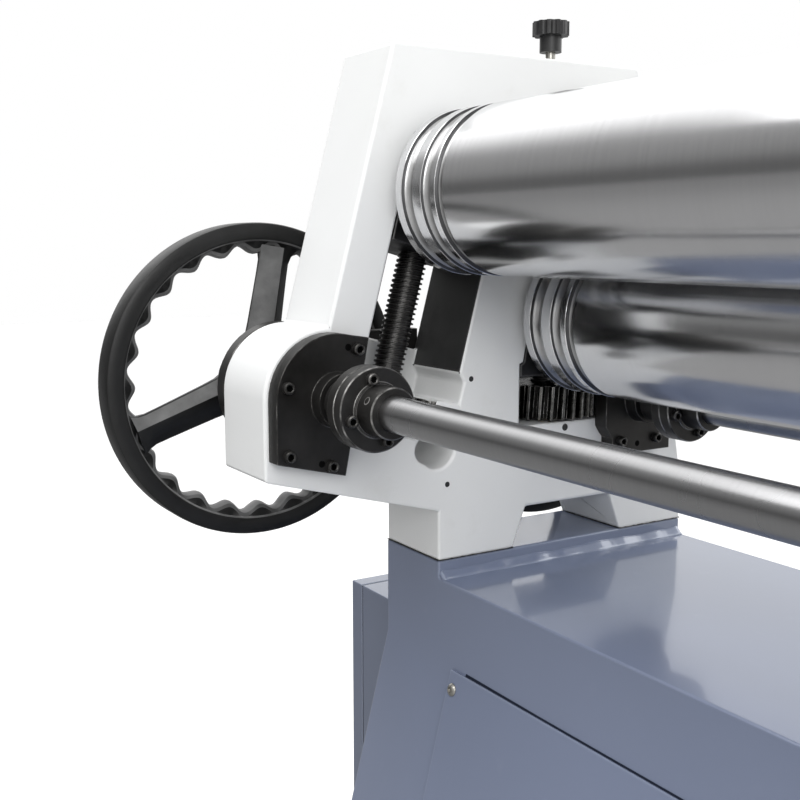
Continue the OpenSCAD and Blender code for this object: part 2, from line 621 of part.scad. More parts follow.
// electrical box on the end wall, with a hinged door and a rotary switch
module box_place() translate([-box_x, -box_w / 2, box_top - box_h]) children();
module electrical_box() color(blue_paint) box_place() difference() {
    translate([door_t + 1.5, 0, 0]) cube([box_d - door_t - 1.5, box_w, box_h]);
    translate([door_t, 2, 2]) cube([box_d - door_t - 4, box_w - 4, box_h - 4]);
}
module box_mounting_plate() color(bright_steel) box_place() {
    translate([box_d - 14, 15, 15]) cube([10, box_w - 30, box_h - 30]);
    contactor = [46, (box_w - 60) / 3 - 4, 70];
    for (i = [0:2])
        translate([box_d - 14 - contactor.x, 30 + i * (contactor.y + 6), box_h - 60 - contactor.z])
            cube(contactor);
    translate([box_d - 45, 30, 60]) cube([31, box_w - 60, 40]);
}
hinge_z = [60, box_h - 60];
hinge_r = 5;
module hinge_axis(z) translate([hinge_r + 1, box_w + hinge_r + 1, z]) children();
module box_hinges() color(bright_steel) box_place() for (z = hinge_z) {
    hinge_axis(z - 20) cylinder(r = 2.5, h = 40);
    for (e = [-24, 12]) {
        hinge_axis(z + e) cylinder(r = hinge_r, h = 12);
        translate([hinge_r + 1, box_w + 0.3, z + e]) cube([24, 3.7, 12]);
    }
}
module box_door() color(blue_paint) box_place() {
    difference() {
        cube([door_t, box_w, box_h]);
        translate([2, 2, 2]) cube([door_t, box_w - 4, box_h - 4]);
        translate([-eps, switch_y, switch_z]) bar(8, 4);
    }
    for (z = hinge_z) difference() {
        union() {
            hinge_axis(z - 11.5) cylinder(r = hinge_r, h = 23);
            translate([1, box_w - eps, z - 11.5]) cube([4, hinge_r + eps + 1, 23]);
        }
        hinge_axis(z - 12) cylinder(r = 2.5 + fit, h = 24);
    }
}
switch_y = 46;
switch_z = box_h - 244;
module switch_knob() color(black_steel) box_place() translate([-knob_h, switch_y, switch_z]) {
    bar(8 - fit, knob_h + 14);
    translate([knob_h - 8, 0, 0]) bar(knob_d / 2, 7.7);
    translate([0, -6, -knob_d / 2 + 3]) cube([knob_h - 8, 12, knob_d - 6]);
}
knob_h = 32;

// drive end: gear train, its bracket and cover, gearbox and motor
module bored_gear(x, n, turn) color(iron) translate([x, 0, 0]) difference() {
    union() {
        yz(gear_w) gear_outline(gear_m, n, turn);
        bar(journal_r + 9, gear_w);
    }
    translate([-eps, 0, 0]) bar(journal_r + fit, gear_w + 2 * eps);
    if (n > 30) for (a = [0:60:300]) rotate([a, 0, 0])
        translate([-eps, 0, (journal_r + 6 + gear_m * n / 2) / 2]) bar(13, gear_w + 2 * eps);
}
module upper_roll_gear() at_upper() bored_gear(roll_gear_x, roll_gear_teeth, 0);
module lower_roll_gear() at_lower() bored_gear(roll_gear_x, roll_gear_teeth, 180 / roll_gear_teeth);
module drive_gear() at_upper() bored_gear(drive_gear_x, drive_gear_teeth, -90);
module at_pinion() translate([0, pinch_y - foot_mid, base_h + pinion_z]) children();
module drive_pinion() color(iron) at_pinion() {
    translate([drive_gear_x, 0, 0]) yz(gear_w) gear_outline(gear_m, pinion_teeth, 90 + 180 / pinion_teeth);
    translate([drive_gear_x, 0, 0]) bar(15, motor_plate_x + motor_plate_t + 30 - drive_gear_x);
}
bracket_w = 180;
bracket_drop = 96;
module drive_bracket() color(blue_paint) difference() {
    translate([0, -bracket_w / 2, base_h]) {
        translate([base_half, 0, -bracket_drop]) cube([12, bracket_w, bracket_drop]);
        translate([base_half, 0, -12]) cube([motor_plate_x + motor_plate_t - base_half, bracket_w, 12]);
        translate([motor_plate_x, 0, -bracket_drop]) cube([motor_plate_t, bracket_w, bracket_drop
            + pinion_z + 95]);
        for (y = [12, bracket_w - 22]) translate([base_half, y, -bracket_drop])
            cube([motor_plate_x - base_half, 10, bracket_drop]);
    }
    at_pinion() translate([motor_plate_x - eps, 0, 0]) bar(40, motor_plate_t + 2 * eps);
    for (y = bracket_bolt_y) translate([base_half - eps, y, base_h - 60]) bar(5 + fit, 12 + 2 * eps);
}
gear_cover_t = 3;
module gear_cover_outline(inset) polygon([[-10 + inset, inset], [-10 + inset, 28],
    [bend_worm_y - boss_r - 14 + inset, 66 + inset], [bend_worm_y - boss_r - 14 + inset, bend_worm_z + 30],
    [bend_worm_y - 20 + inset, bend_worm_z + boss_r + 18], [pinch_y - 130 + inset, upper_z + 112 - inset],
    [pinch_y + 104 - inset, upper_z + 112 - inset],
    [cover_edge - inset, feed_worm_z + 60], [cover_edge - inset, inset]]);
cover_edge = max(feed_worm_y + boss_r, foot_span) + 12;
// the post beside the motor's bracket clears both the worm's housing and the bracket
side_post_y = max(feed_worm_y + boss_r - 19, foot_mid + bracket_w / 2 + 8.5);
cover_post_places = [[10, 30], [pinch_y - 100, upper_z + 62], [side_post_y, lower_z + 18], [foot_span - 18, 20]];
module gear_cover() color(white_paint) translate([0, -foot_mid, base_h]) difference() {
    frame_face = frame_gap / 2 + frame_t;
    union() {
        difference() {
            translate([frame_face, 0, 0]) yz(gear_cover_x + gear_cover_t - frame_face) gear_cover_outline(0);
            translate([frame_face - eps, 0, 0]) yz(gear_cover_x - frame_face + eps)
                gear_cover_outline(gear_cover_t);
            translate([frame_face, foot_mid - bracket_w / 2 - 2, -eps]) cube([gear_cover_x - frame_face,
                bracket_w + 4, 3 * gear_cover_t]);
        }
    }
    translate([gear_cover_x - eps, pinch_y, pinion_z]) bar(gearbox_flange_r + 4, gear_cover_t + 2 * eps);
    for (p = cover_post_places) translate([gear_cover_x - eps, p.x, p.y])
        bar(4 + fit, gear_cover_t + 2 * eps);
}
module gear_cover_screws() color(bright_steel) translate([frame_gap / 2 + frame_t, -foot_mid, base_h])
    for (p = cover_post_places) translate([0, p.x, p.y]) {
        length = gear_cover_x - frame_gap / 2 - frame_t;
        bar(7, length);
        bar(4, length + gear_cover_t + 4);
        translate([length + gear_cover_t, 0, 0]) bar(7, 5);
    }
gearbox_flange_r = 80;
module gearbox() color(blue_paint) at_pinion() translate([motor_plate_x + motor_plate_t, 0, 0]) difference() {
    union() {
        bar(gearbox_flange_r, 12);
        bar(58, gearbox_l);
        translate([20, -62, -62]) cube([gearbox_l - 32, 124, 124]);
        translate([gearbox_l - 12, 0, 0]) bar(motor_d / 2 - 4, 12);
    }
    translate([-eps, 0, 0]) bar(15 + fit, 32);
}
motor_x = motor_plate_x + motor_plate_t + gearbox_l;
module motor() color(blue_paint) at_pinion() translate([motor_x, 0, 0]) {
    bar(motor_d / 2 - 14, motor_l - 46);
    bar(motor_d / 2, 14);
    translate([motor_l - 60, 0, 0]) bar(motor_d / 2, 14);
    for (a = [0:12:348]) rotate([a, 0, 0]) translate([7, -1.5, motor_d / 2 - 18])
        cube([motor_l - 60, 3, 17]);
    translate([24, -45, motor_d / 2 - 22]) cube([90, 90, 56]);
}
module motor_fan_cover() color(black_steel) at_pinion() translate([motor_x + motor_l - 46, 0, 0])
difference() {
    bar(motor_d / 2 + 1, 46);
    translate([-eps, 0, 0]) bar(motor_d / 2 - 1, 44);
    for (r = [16, 30, 44, 58]) translate([43, 0, 0]) difference() {
        bar(r + 5, 4);
        translate([-eps, 0, 0]) bar(r, 6);
        for (a = [0, 90]) rotate([a, 0, 0]) translate([-eps, -3, -80]) cube([6, 6, 160]);
    }
}

// lock knob over the upper roll's bearing, with its threaded stud
knob_lift = 12;
module lock_knob() color(black_steel) left() translate([-frame_mid, pinch_y, frame_h + knob_lift])
difference() {
    union() {
        cylinder(r = 9, h = 14);
        translate([0, 0, 13]) difference() {
            cylinder(r = 15, h = 11);
            for (a = [0:30:330]) rotate(a) translate([16.5, 0, -eps]) cylinder(r = 3, h = 14);
        }
    }
    translate([0, 0, -eps]) cylinder(r = 4 + fit, h = 13);
}
module lock_stud() color(bright_steel) left() translate([-frame_mid, pinch_y, upper_z + bush_r + 4])
    cylinder(r = 4, h = frame_h + knob_lift + 11 - upper_z - bush_r - 4);

base_cabinet();
floor_plates();
bending_side_cover();
feed_side_cover();
side_cover_screws();
electrical_box();
box_mounting_plate();
box_hinges();
left_frame();
right_frame();
frame_bolts();
bending_worm_plates();
feed_worm_plates();
outer_worm_plates();
worm_plate_screws();
thrust_washers();
upper_bushes();
drive_bracket();
gear_cover();
gear_cover_screws();
gearbox();
motor();
motor_fan_cover();
upper_roll();
upper_roll_gear();
drive_gear();
lower_roll();
lower_roll_gear();
bending_roll();
bending_block_left();
bending_block_right();
bending_bushes();
bending_spindles();
lower_block_left();
lower_block_right();
lower_bushes();
lower_spindles();
bending_handwheel();
bending_worm_left();
bending_worm_right();
bending_cross_shaft();
bending_couplings();
bending_coupling_screws();
feed_handwheel();
feed_worm_left();
feed_worm_right();
feed_cross_shaft();
feed_couplings();
feed_coupling_screws();
bending_wheel_left();
bending_wheel_right();
lower_wheel_left();
lower_wheel_right();
drive_pinion();
box_door();
switch_knob();
lock_knob();
lock_stud();
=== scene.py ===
import json
import math
import random

import bmesh
import bpy
from mathutils import Matrix, Vector


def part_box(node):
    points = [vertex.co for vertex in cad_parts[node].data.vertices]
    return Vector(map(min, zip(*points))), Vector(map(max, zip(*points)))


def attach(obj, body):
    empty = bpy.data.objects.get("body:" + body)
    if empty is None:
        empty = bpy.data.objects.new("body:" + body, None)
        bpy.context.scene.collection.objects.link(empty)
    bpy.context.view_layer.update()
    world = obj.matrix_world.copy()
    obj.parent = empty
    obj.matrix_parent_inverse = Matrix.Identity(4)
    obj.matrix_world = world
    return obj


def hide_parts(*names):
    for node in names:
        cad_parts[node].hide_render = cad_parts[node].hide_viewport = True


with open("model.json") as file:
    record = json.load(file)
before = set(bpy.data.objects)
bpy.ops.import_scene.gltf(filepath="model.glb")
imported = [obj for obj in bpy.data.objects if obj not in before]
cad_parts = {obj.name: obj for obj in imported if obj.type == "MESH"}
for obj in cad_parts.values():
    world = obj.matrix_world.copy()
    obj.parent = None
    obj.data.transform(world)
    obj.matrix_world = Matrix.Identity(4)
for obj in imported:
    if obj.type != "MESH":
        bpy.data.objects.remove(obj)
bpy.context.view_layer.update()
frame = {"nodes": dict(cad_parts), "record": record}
NODES = frame["nodes"]
BODY = {n: b for b, ns in frame["record"]["behaviour"]["bodies"].items() for n in ns}
SLOT = {s["node"]: s["material_slot"] for s in frame["record"]["subparts"]}
random.seed(7)

# Driving sizes. Lengths are in mm unless they say otherwise. A side frame's own measures start at
# its inner face (x), at the front end of its foot (y) and at the top of the base (z).
MM = 0.001
FRAME_GAP = 1316.0              # between the frames' inner faces
FRAME_MID = 36.0                # half a frame's thickness
HALF_FOOT = 131.0
BASE_TOP = 760.0
PINCH_Y = 132.0                 # the upper and lower rolls' axes
UPPER_Z = 308.0
ROLL_R = 60.0
JOURNAL_R = 25.0
BUSH_R = 29.0
WORM_BORE_R = 32.0
BENDING_WORM = (-97.1, 136.8)   # y and z of the cross shafts
FEED_WORM = (198.5, 116.0)
PLATE_T = 14.0                  # the worm plates on the frames' inner faces
TILT = math.radians(15)         # of the bending roll's slide
SLIDE_U = -62.7                 # the slide's middle, square to it
SLOT_HALF = 42.7                # half the width of the slide's slot
WINDOW_HALF = 54.0              # half the width of the lower roll's window
BENDING_WORM_U = -129.2         # the bending worm, square to the slide and along it
BENDING_WORM_V = 107.0

X = Vector((1, 0, 0))
UP = Vector((0, 0, 1))
LEAN = Vector((0, math.sin(TILT), math.cos(TILT)))


def left(x, y, z):
    """A point in the left side frame's own measures (mm) in the shared frame."""
    return Vector((x - FRAME_GAP / 2, y - HALF_FOOT, z + BASE_TOP)) * MM


def tilted(x, u, v):
    """A point of the leaning slide: u is square to it and v runs along it."""
    return left(x, u * math.cos(TILT) + v * math.sin(TILT), v * math.cos(TILT) - u * math.sin(TILT))


def own_measures(co):
    """The y and z (mm) that a point has in the side frames' own measures."""
    return co.y / MM + HALF_FOOT, co.z / MM - BASE_TOP


def srgb(r, g=None, b=None):
    """A linear colour from levels of 0 to 255; one level alone is a grey."""
    levels = (r, r if g is None else g, r if b is None else b)
    return tuple(((c / 255 + 0.055) / 1.055) ** 2.4 if c > 10 else c / 255 / 12.92 for c in levels) + (1.0,)


# Materials
class Graph:
    """A few words for building a node tree."""

    def __init__(self, tree, place):
        self.tree = tree
        self.co = self.add("ShaderNodeTexCoord").outputs[place]

    def feed(self, socket, value):
        """Gives an input another node's output, or a plain value."""
        if isinstance(value, bpy.types.NodeSocket):
            self.tree.links.new(value, socket)
        else:
            socket.default_value = value

    def add(self, kind, **values):
        """A node. A value goes to the setting of its name, or else to the input, with _ for a space."""
        n = self.tree.nodes.new(kind)
        for k, v in values.items():
            if hasattr(n, k):
                setattr(n, k, v)
            else:
                self.feed(n.inputs[k.replace("_", " ")], v)
        return n

    def noise(self, scale, detail=3.0, rough=0.55, stretch=None, turn=(0, 0, 0)):
        co = self.co
        if stretch:
            co = self.add("ShaderNodeMapping", Vector=co, Rotation=turn, Scale=stretch).outputs["Vector"]
        n = self.add("ShaderNodeTexNoise", Vector=co, Scale=scale, Detail=detail, Roughness=rough)
        return n.outputs["Fac"]

    def ramp(self, fac, stops):
        r = self.add("ShaderNodeValToRGB", Fac=fac)
        e = r.color_ramp.elements
        while len(e) < len(stops):
            e.new(0.5)
        for i, (p, c) in enumerate(stops):
            e[i].position = p
            e[i].color = c if isinstance(c, tuple) else (c, c, c, 1)
        return r.outputs["Color"]

    def mix(self, fac, a, b):
        m = self.add("ShaderNodeMix", data_type="RGBA")
        factor, first, second = (m.inputs[i] for i in (0, 6, 7))
        self.feed(factor, fac)
        self.feed(first, a)
        self.feed(second, b)
        return m.outputs[2]

    def math(self, op, *values):
        m = self.add("ShaderNodeMath", operation=op)
        for socket, v in zip(m.inputs, values):
            self.feed(socket, v)
        return m.outputs[0]

    def vector(self, op, a, b):
        m = self.add("ShaderNodeVectorMath", operation=op)
        self.feed(m.inputs[0], a)
        self.feed(m.inputs[1], b)
        return m

    def span(self, value, low, high, **values):
        """How far a value is on its way from low to high, from 0 to 1."""
        n = self.add("ShaderNodeMapRange", Value=value, From_Min=low, From_Max=high, **values)
        return n.outputs["Result"]


class Finish(Graph):
    """A material, built on its shader."""

    SOCKETS = {"color": "Base Color", "rough": "Roughness", "metal": "Metallic", "coat": "Coat Weight",
               "coat_rough": "Coat Roughness", "spec": "Specular IOR Level", "tint": "Specular Tint"}

    def __init__(self, name):
        self.mat = bpy.data.materials.new(name)
        self.mat.use_nodes = True
        super().__init__(self.mat.node_tree, "Object")
        self.shader = self.tree.nodes["Principled BSDF"]

    def set(self, **values):
        for k, v in values.items():
            self.feed(self.shader.inputs[self.SOCKETS[k]], v)
        return self.mat

    def edge(self, radius=0.0012, power=4.0):
        """How much a point lies on a rounded edge, from how far a rounded normal turns from the true one."""
        rounded = self.add("ShaderNodeBevel", samples=4, Radius=radius).outputs["Normal"]
        plain = self.add("ShaderNodeNewGeometry").outputs["Normal"]
        turned = self.vector("DOT_PRODUCT", rounded, plain).outputs["Value"]
        return self.math("POWER", self.math("SUBTRACT", 1.0, turned), 1 / power)

    def bump(self, height, distance, strength, after=None):
        b = self.add("ShaderNodeBump", Height=height, Distance=distance, Strength=strength)
        if after is not None:
            self.feed(b.inputs["Normal"], after)
        self.feed(self.shader.inputs["Normal"], b.outputs["Normal"])
        return b.outputs["Normal"]


def white_paint():
    """Thick white enamel with a fine peel, waves and a little dust."""
    m = Finish("white_paint")
    c = m.ramp(m.noise(3.0, 4.0), [(0.3, srgb(221, 222, 221)), (0.7, srgb(228, 229, 229))])
    dust = m.ramp(m.noise(26.0, 5.0, 0.65), [(0.60, 0.0), (0.82, 0.35)])
    c = m.mix(dust, c, srgb(206, 206, 202))
    peel = m.bump(m.noise(130.0, 2.0), 0.00012, 0.35)
    m.bump(m.noise(16.0, 3.0), 0.0007, 0.35, peel)
    return m.set(color=c, rough=m.ramp(m.noise(9.0), [(0.3, 0.36), (0.7, 0.46)]), spec=0.5)


def blue_paint(name="blue_paint", k=1.0):
    """Glossy grey blue enamel on sheet steel, paler along its edges as a painted highlight; k darkens it all
    as painted shade.
    """
    m = Finish(name)
    tones = ((111, 120, 142), (118, 127, 150), (127, 135, 156))
    deep, plain, pale = (srgb(r * k, g * k, b * k) for r, g, b in tones)
    c = m.ramp(m.noise(2.2, 3.0), [(0.3, deep), (0.7, plain)])
    c = m.mix(m.ramp(m.noise(60.0, 4.0), [(0.62, 0.0), (0.8, 0.2)]), c, pale)
    # paler along the rounded edges: a painted highlight
    c = m.mix(m.math("MULTIPLY", m.edge(0.0022, 2.0), 0.55), c, srgb(176, 182, 196))
    peel = m.bump(m.noise(90.0, 2.0), 0.00010, 0.35)
    m.bump(m.noise(7.0, 2.0), 0.0006, 0.35, peel)
    return m.set(color=c, rough=m.ramp(m.noise(14.0), [(0.3, 0.15), (0.7, 0.22)]), coat=0.6, coat_rough=0.06,
                 tint=(0.86, 0.93, 1.0, 1))


def black_oxide(name="black_oxide", base=(39, 38, 37), edge_shine=0.6, marks=0.0):
    """Blackened steel with pale edges, a painted highlight; marks adds short scratches and dull handling
    marks.
    """
    m = Finish(name)
    smoke = m.noise(20.0, 6.0, 0.6)
    c = m.ramp(smoke, [(0.32, srgb(*base)), (0.7, srgb(*(v + 20 for v in base)))])
    streak = m.noise(60.0, 3.0, 0.5, (1.0, 0.12, 0.12))
    c = m.mix(m.ramp(streak, [(0.62, 0.0), (0.75, 0.25)]), c, srgb(78, 78, 79))
    if marks:
        cuts = m.ramp(m.noise(230.0, 2.0, 0.5, (1, 1, 0.07), (0.6, 0, 0)), [(0.70, 0.0), (0.735, 1.0)])
        places = m.ramp(m.noise(24.0, 2.0), [(0.56, 0.0), (0.6, 1.0)])
        c = m.mix(m.math("MULTIPLY", m.math("MULTIPLY", cuts, places), marks), c, srgb(120, 119, 117))
        c = m.mix(m.ramp(m.noise(42.0, 5.0, 0.7), [(0.58, 0.0), (0.72, 0.35)]), c, srgb(64, 62, 59))
    # pale edges in patches: a painted highlight where the edges catch the light
    patches = m.ramp(m.noise(140.0, 3.0), [(0.3, 0.25), (0.6, edge_shine)])
    c = m.mix(m.math("MULTIPLY", m.edge(0.0009, 3.0), patches), c, srgb(178, 176, 173))
    m.bump(m.noise(260.0, 3.0), 0.00006, 0.5)
    return m.set(color=c, metal=0.75, rough=m.ramp(smoke, [(0.3, 0.34), (0.75, 0.5)]))


def highlit_edge(name="highlit_edge", low=50, mid=124, high=196):
    """Blackened steel for rounded edges, paler in patches: a painted highlight along the edges."""
    m = Finish(name)
    n = m.noise(75.0, 4.0, 0.6)
    m.bump(m.noise(400.0, 3.0), 0.00004, 0.5)
    return m.set(color=m.ramp(n, [(0.36, srgb(low, low, low - 1)), (0.52, srgb(mid, mid - 1, mid - 3)),
                                  (0.7, srgb(high, high - 2, high - 4))]),
                 metal=0.8, rough=m.ramp(n, [(0.3, 0.42), (0.7, 0.32)]))


def ground_steel(name="ground_steel", tint=(226, 226, 227), rough=0.17):
    """Finely ground steel: faint rings round a roll or shaft, which lies along X."""
    m = Finish(name)
    rings = m.noise(700.0, 2.0, 0.5, (1.0, 0.006, 0.006))
    broad = m.noise(9.0, 3.0, 0.55, (1.0, 0.25, 0.25))
    c = m.mix(m.ramp(rings, [(0.35, 0.0), (0.8, 0.3)]), srgb(*tint), srgb(*(v - 18 for v in tint)))
    c = m.mix(m.ramp(broad, [(0.45, 0.0), (0.8, 0.2)]), c, srgb(*(v - 10 for v in tint)))
    m.bump(rings, 0.00002, 0.12)
    return m.set(color=c, metal=1.0, rough=m.ramp(broad, [(0.3, rough - 0.01), (0.75, rough + 0.02)]))


def cast_iron(name="dark_iron", base=(48, 48, 50), metal=0.6, rough=0.5):
    """Dull iron with a grainy skin and rubbed edges."""
    m = Finish(name)
    n = m.noise(34.0, 6.0, 0.65)
    c = m.ramp(n, [(0.3, srgb(*(max(v - 22, 4) for v in base))), (0.68, srgb(*base))])
    patches = m.ramp(m.noise(90.0, 3.0), [(0.3, 0.15), (0.6, 0.6)])
    c = m.mix(m.math("MULTIPLY", m.edge(0.0015), patches), c, srgb(150, 149, 147))
    m.bump(m.noise(210.0, 4.0), 0.00015, 0.5)
    return m.set(color=c, metal=metal, rough=m.ramp(n, [(0.3, rough - 0.12), (0.7, rough + 0.1)]))


def gear_steel(centre, axis, tip, root):
    """Oiled gear, paler at the tooth tips and darker down to the roots by the distance from the gear's own
    axis: grease and painted shade in the roots.
    """
    m = Finish("gear_steel")
    arm = m.vector("SUBTRACT", m.co, centre).outputs["Vector"]
    square = m.vector("CROSS_PRODUCT", arm, axis).outputs["Vector"]
    length = m.add("ShaderNodeVectorMath", operation="LENGTH")
    m.feed(length.inputs[0], square)
    height = m.span(length.outputs["Value"], root, tip)
    smear = m.math("MULTIPLY", m.math("SUBTRACT", m.noise(150.0, 4.0), 0.5), 0.9)
    # dark low down between the teeth: grease and painted shade
    c = m.ramp(m.math("ADD", height, smear), [(0.15, srgb(12, 11, 10)), (0.6, srgb(40, 39, 37)),
                                              (1.0, srgb(92, 91, 88))])
    grease = m.bump(m.noise(420.0, 3.0, 0.7), 0.0005, 0.8)
    m.bump(m.noise(120.0, 4.0), 0.0006, 0.5, grease)
    return m.set(color=c, metal=0.9, rough=m.ramp(m.noise(70.0, 3.0), [(0.3, 0.12), (0.7, 0.36)]))


def metal(name, rgb, rough, bump=0.00004):
    """Plain machined metal with cloudy tone and gloss."""
    m = Finish(name)
    n = m.noise(60.0, 4.0)
    c = m.ramp(n, [(0.3, srgb(*(max(v - 26, 4) for v in rgb))), (0.7, srgb(*rgb))])
    m.bump(m.noise(180.0, 3.0), bump, 0.5)
    return m.set(color=c, metal=1.0, rough=m.ramp(n, [(0.3, rough - 0.06), (0.7, rough + 0.08)]))


def gloss_black(name="black_gloss_paint", low=12, high=22):
    """Black paint over a cast skin."""
    m = Finish(name)
    c = m.ramp(m.noise(40.0, 4.0), [(0.3, srgb(low)), (0.7, srgb(high))])
    cast = m.bump(m.noise(150.0, 5.0, 0.65), 0.0004, 0.5)
    m.bump(m.noise(24.0, 3.0), 0.0009, 0.4, cast)
    return m.set(color=c, rough=m.ramp(m.noise(22.0, 4.0), [(0.3, 0.36), (0.7, 0.48)]), spec=0.35)


def plastic(name="black_plastic"):
    """Moulded black plastic with a fine grain."""
    m = Finish(name)
    c = m.ramp(m.noise(60.0, 3.0), [(0.3, srgb(20)), (0.7, srgb(30, 30, 31))])
    m.bump(m.noise(420.0, 3.0), 0.00005, 0.6)
    return m.set(color=c, rough=m.ramp(m.noise(80.0), [(0.3, 0.38), (0.7, 0.5)]))


MAT = {
    "white_paint": white_paint(),
    "blue_paint": blue_paint(),
    "black_steel": black_oxide("black_steel", marks=0.8),
    "black_oxide": black_oxide(),
    "ground_steel": ground_steel(),
    "zinc_steel": metal("zinc_steel", (176, 174, 168), 0.30),
    "dark_iron": cast_iron(),
    "bronze": metal("bronze", (172, 136, 84), 0.30),
    "black_plastic": plastic(),
    "black_gloss_paint": gloss_black(),
    "gear_steel": metal("gear_iron", (110, 110, 111), 0.34),
}
GUIDE = cast_iron("guide_face", (60, 60, 60), 0.35, 0.52)
BORE = metal("machined_bore", (150, 149, 146), 0.28)
DARK = plastic("dark_hole")
SHAFT = ground_steel("shaft_steel", (168, 168, 169), 0.27)
# a darker copy of the blue paint for the electrical box: painted shade, as the box stands set back in shadow
SHADED_BOX = blue_paint("box_paint_shaded", 0.88)
# dark metal for the outer part of the grooves' left walls: painted shade
GROOVE_SHADE = metal("groove_wall_shade", (92, 92, 93), 0.42)
GROOVE_BOTTOM = metal("groove_bottom", (184, 184, 184), 0.33, 0.00003)
# materials for rounded edges: a painted highlight where the edges catch the light
EDGE_HIGHLIGHT = highlit_edge()
DULL_EDGE_HIGHLIGHT = highlit_edge("dull_highlit_edge", 34, 66, 128)
THREAD = black_oxide("thread_steel", (8, 8, 8), 0.5)
# dark plastic: painted shade for the frames' tapped holes, and the dark joint under the feet
HOLE_SHADE_AND_JOINT = plastic("hole_shade_and_joint")
# paler black paint: a painted highlight on the handwheels' ridge, finger waves and some spoke facets
LIT_FACET_PAINT = gloss_black("lit_facet", 72, 104)
SEAM = Finish("shadow_gap").set(color=srgb(34, 39, 52), rough=0.9, spec=0.1)
# near black: painted shade inside holes and screw sockets
HOLE_SHADE = Finish("deep_hole_shade").set(color=srgb(6), rough=0.9, spec=0.05)


# Building words
def mesh_object(name, bm, mats, body, smooth=True, sharp=35, recalc=True):
    """A piece of the scene from a finished bmesh, on its body and with its material slot."""
    if recalc:
        bmesh.ops.recalc_face_normals(bm, faces=bm.faces)
    me = bpy.data.meshes.new(name)
    bm.to_mesh(me)
    bm.free()
    for m in mats:
        me.materials.append(m)
    if smooth:
        me.polygons.foreach_set("use_smooth", [True] * len(me.polygons))
        me.set_sharp_from_angle(angle=math.radians(sharp))
    ob = bpy.data.objects.new(name, me)
    bpy.context.scene.collection.objects.link(ob)
    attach(ob, body)
    return ob


def stand_in(node, bm, mats, sharp=35, recalc=True):
    """A piece that takes a CAD node's place."""
    ob = mesh_object(node + "_body", bm, mats, BODY[node], sharp=sharp, recalc=recalc)
    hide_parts(node)
    return ob


def bevel(ob, width, seg, angle):
    """Rounds the edges; more than two segments leave the flat faces their own shading."""
    fine = seg > 2
    b = ob.modifiers.new("edge", "BEVEL")
    b.width = width * MM
    b.segments = seg
    b.limit_method = "ANGLE"
    b.angle_limit = math.radians(angle)
    b.use_clamp_overlap = False
    b.harden_normals = not fine
    b.miter_outer = "MITER_SHARP" if fine else "MITER_ARC"
    if fine:
        w = ob.modifiers.new("flat", "WEIGHTED_NORMAL")
        w.weight = 100
        w.keep_sharp = True
    return b


def dress(node, width, mat=None, seg=2, angle=32, paint=(), edge=None, form=None):
    """A copy of a CAD node with rounded edges. paint is (material, test of centre and normal) pairs,
    edge is the material of the rounded edges, and form changes the shape before faces are joined."""
    bm = bmesh.new()
    bm.from_mesh(NODES[node].data)
    bmesh.ops.remove_doubles(bm, verts=bm.verts, dist=1e-5)
    if form:
        form(bm)
    bmesh.ops.dissolve_limit(bm, angle_limit=math.radians(0.6), verts=bm.verts, edges=bm.edges)
    for f in bm.faces:
        centre = f.calc_center_median()
        passed = [i + 1 for i, (_, test) in enumerate(paint) if test(centre, f.normal)]
        f.material_index = max(passed, default=0)
    ob = stand_in(node, bm, [mat or MAT[SLOT[node]]] + [m for m, _ in paint], recalc=False)
    if "custom_normal" in ob.data.attributes:
        ob.data.attributes.remove(ob.data.attributes["custom_normal"])
    rounding = bevel(ob, width, seg, angle)
    if edge:
        ob.data.materials.append(edge)
        rounding.material = len(ob.data.materials) - 1


def islands(node):
    """Lowest and highest corners of each separate piece in a CAD node."""
    bm = bmesh.new()
    bm.from_mesh(NODES[node].data)
    bmesh.ops.remove_doubles(bm, verts=bm.verts, dist=1e-6)
    left_over = set(bm.verts)
    found = []
    while left_over:
        todo = [left_over.pop()]
        piece = []
        while todo:
            v = todo.pop()
            piece.append(v.co.copy())
            for e in v.link_edges:
                o = e.other_vert(v)
                if o in left_over:
                    left_over.discard(o)
                    todo.append(o)
        found.append([Vector([f(c[i] for c in piece) for i in range(3)]) for f in (min, max)])
    bm.free()
    return sorted(found, key=lambda b: tuple(round(v, 5) for v in b[0]))


def basis(axis):
    """A matrix whose third column is the axis."""
    a = Vector(axis).normalized()
    x = a.orthogonal().normalized()
    return Matrix((x, a.cross(x), a)).transposed()


def around(r, a, h):
    """A point (mm) round an upright axis, at a radius, a turn and a height."""
    return Vector((r * math.cos(a), r * math.sin(a), h)) * MM


def skin(bm, rows, closed=True, flip=False, kind=lambda row, i: 0):
    """Joins each row of vertices to the next with faces; kind gives a face's material number."""
    for k, (p, q) in enumerate(zip(rows, rows[1:])):
        for i in range(len(p) if closed else len(p) - 1):
            j = (i + 1) % len(p)
            corners = (p[i], q[i], q[j], p[j]) if flip else (p[i], p[j], q[j], q[i])
            bm.faces.new(corners).material_index = kind(k, i)


def close_ends(bm, rows, flip=False):
    """Caps the first and the last row of vertices."""
    bm.faces.new(rows[0] if flip else rows[0][::-1])
    bm.faces.new(rows[-1][::-1] if flip else rows[-1])


def lathe(bm, origin, axis, profile, sides, cap=True, kinds=None):
    """Turns (radius, height) points in mm about an axis; kinds are the strips' material numbers."""
    b = basis(axis)
    turns = [2 * math.pi * i / sides for i in range(sides)]
    rings = [[bm.verts.new(origin + b @ around(r, a, h)) for a in turns] for r, h in profile]
    skin(bm, rings, kind=lambda row, i: kinds[row] if kinds else 0)
    if cap:
        close_ends(bm, rings)


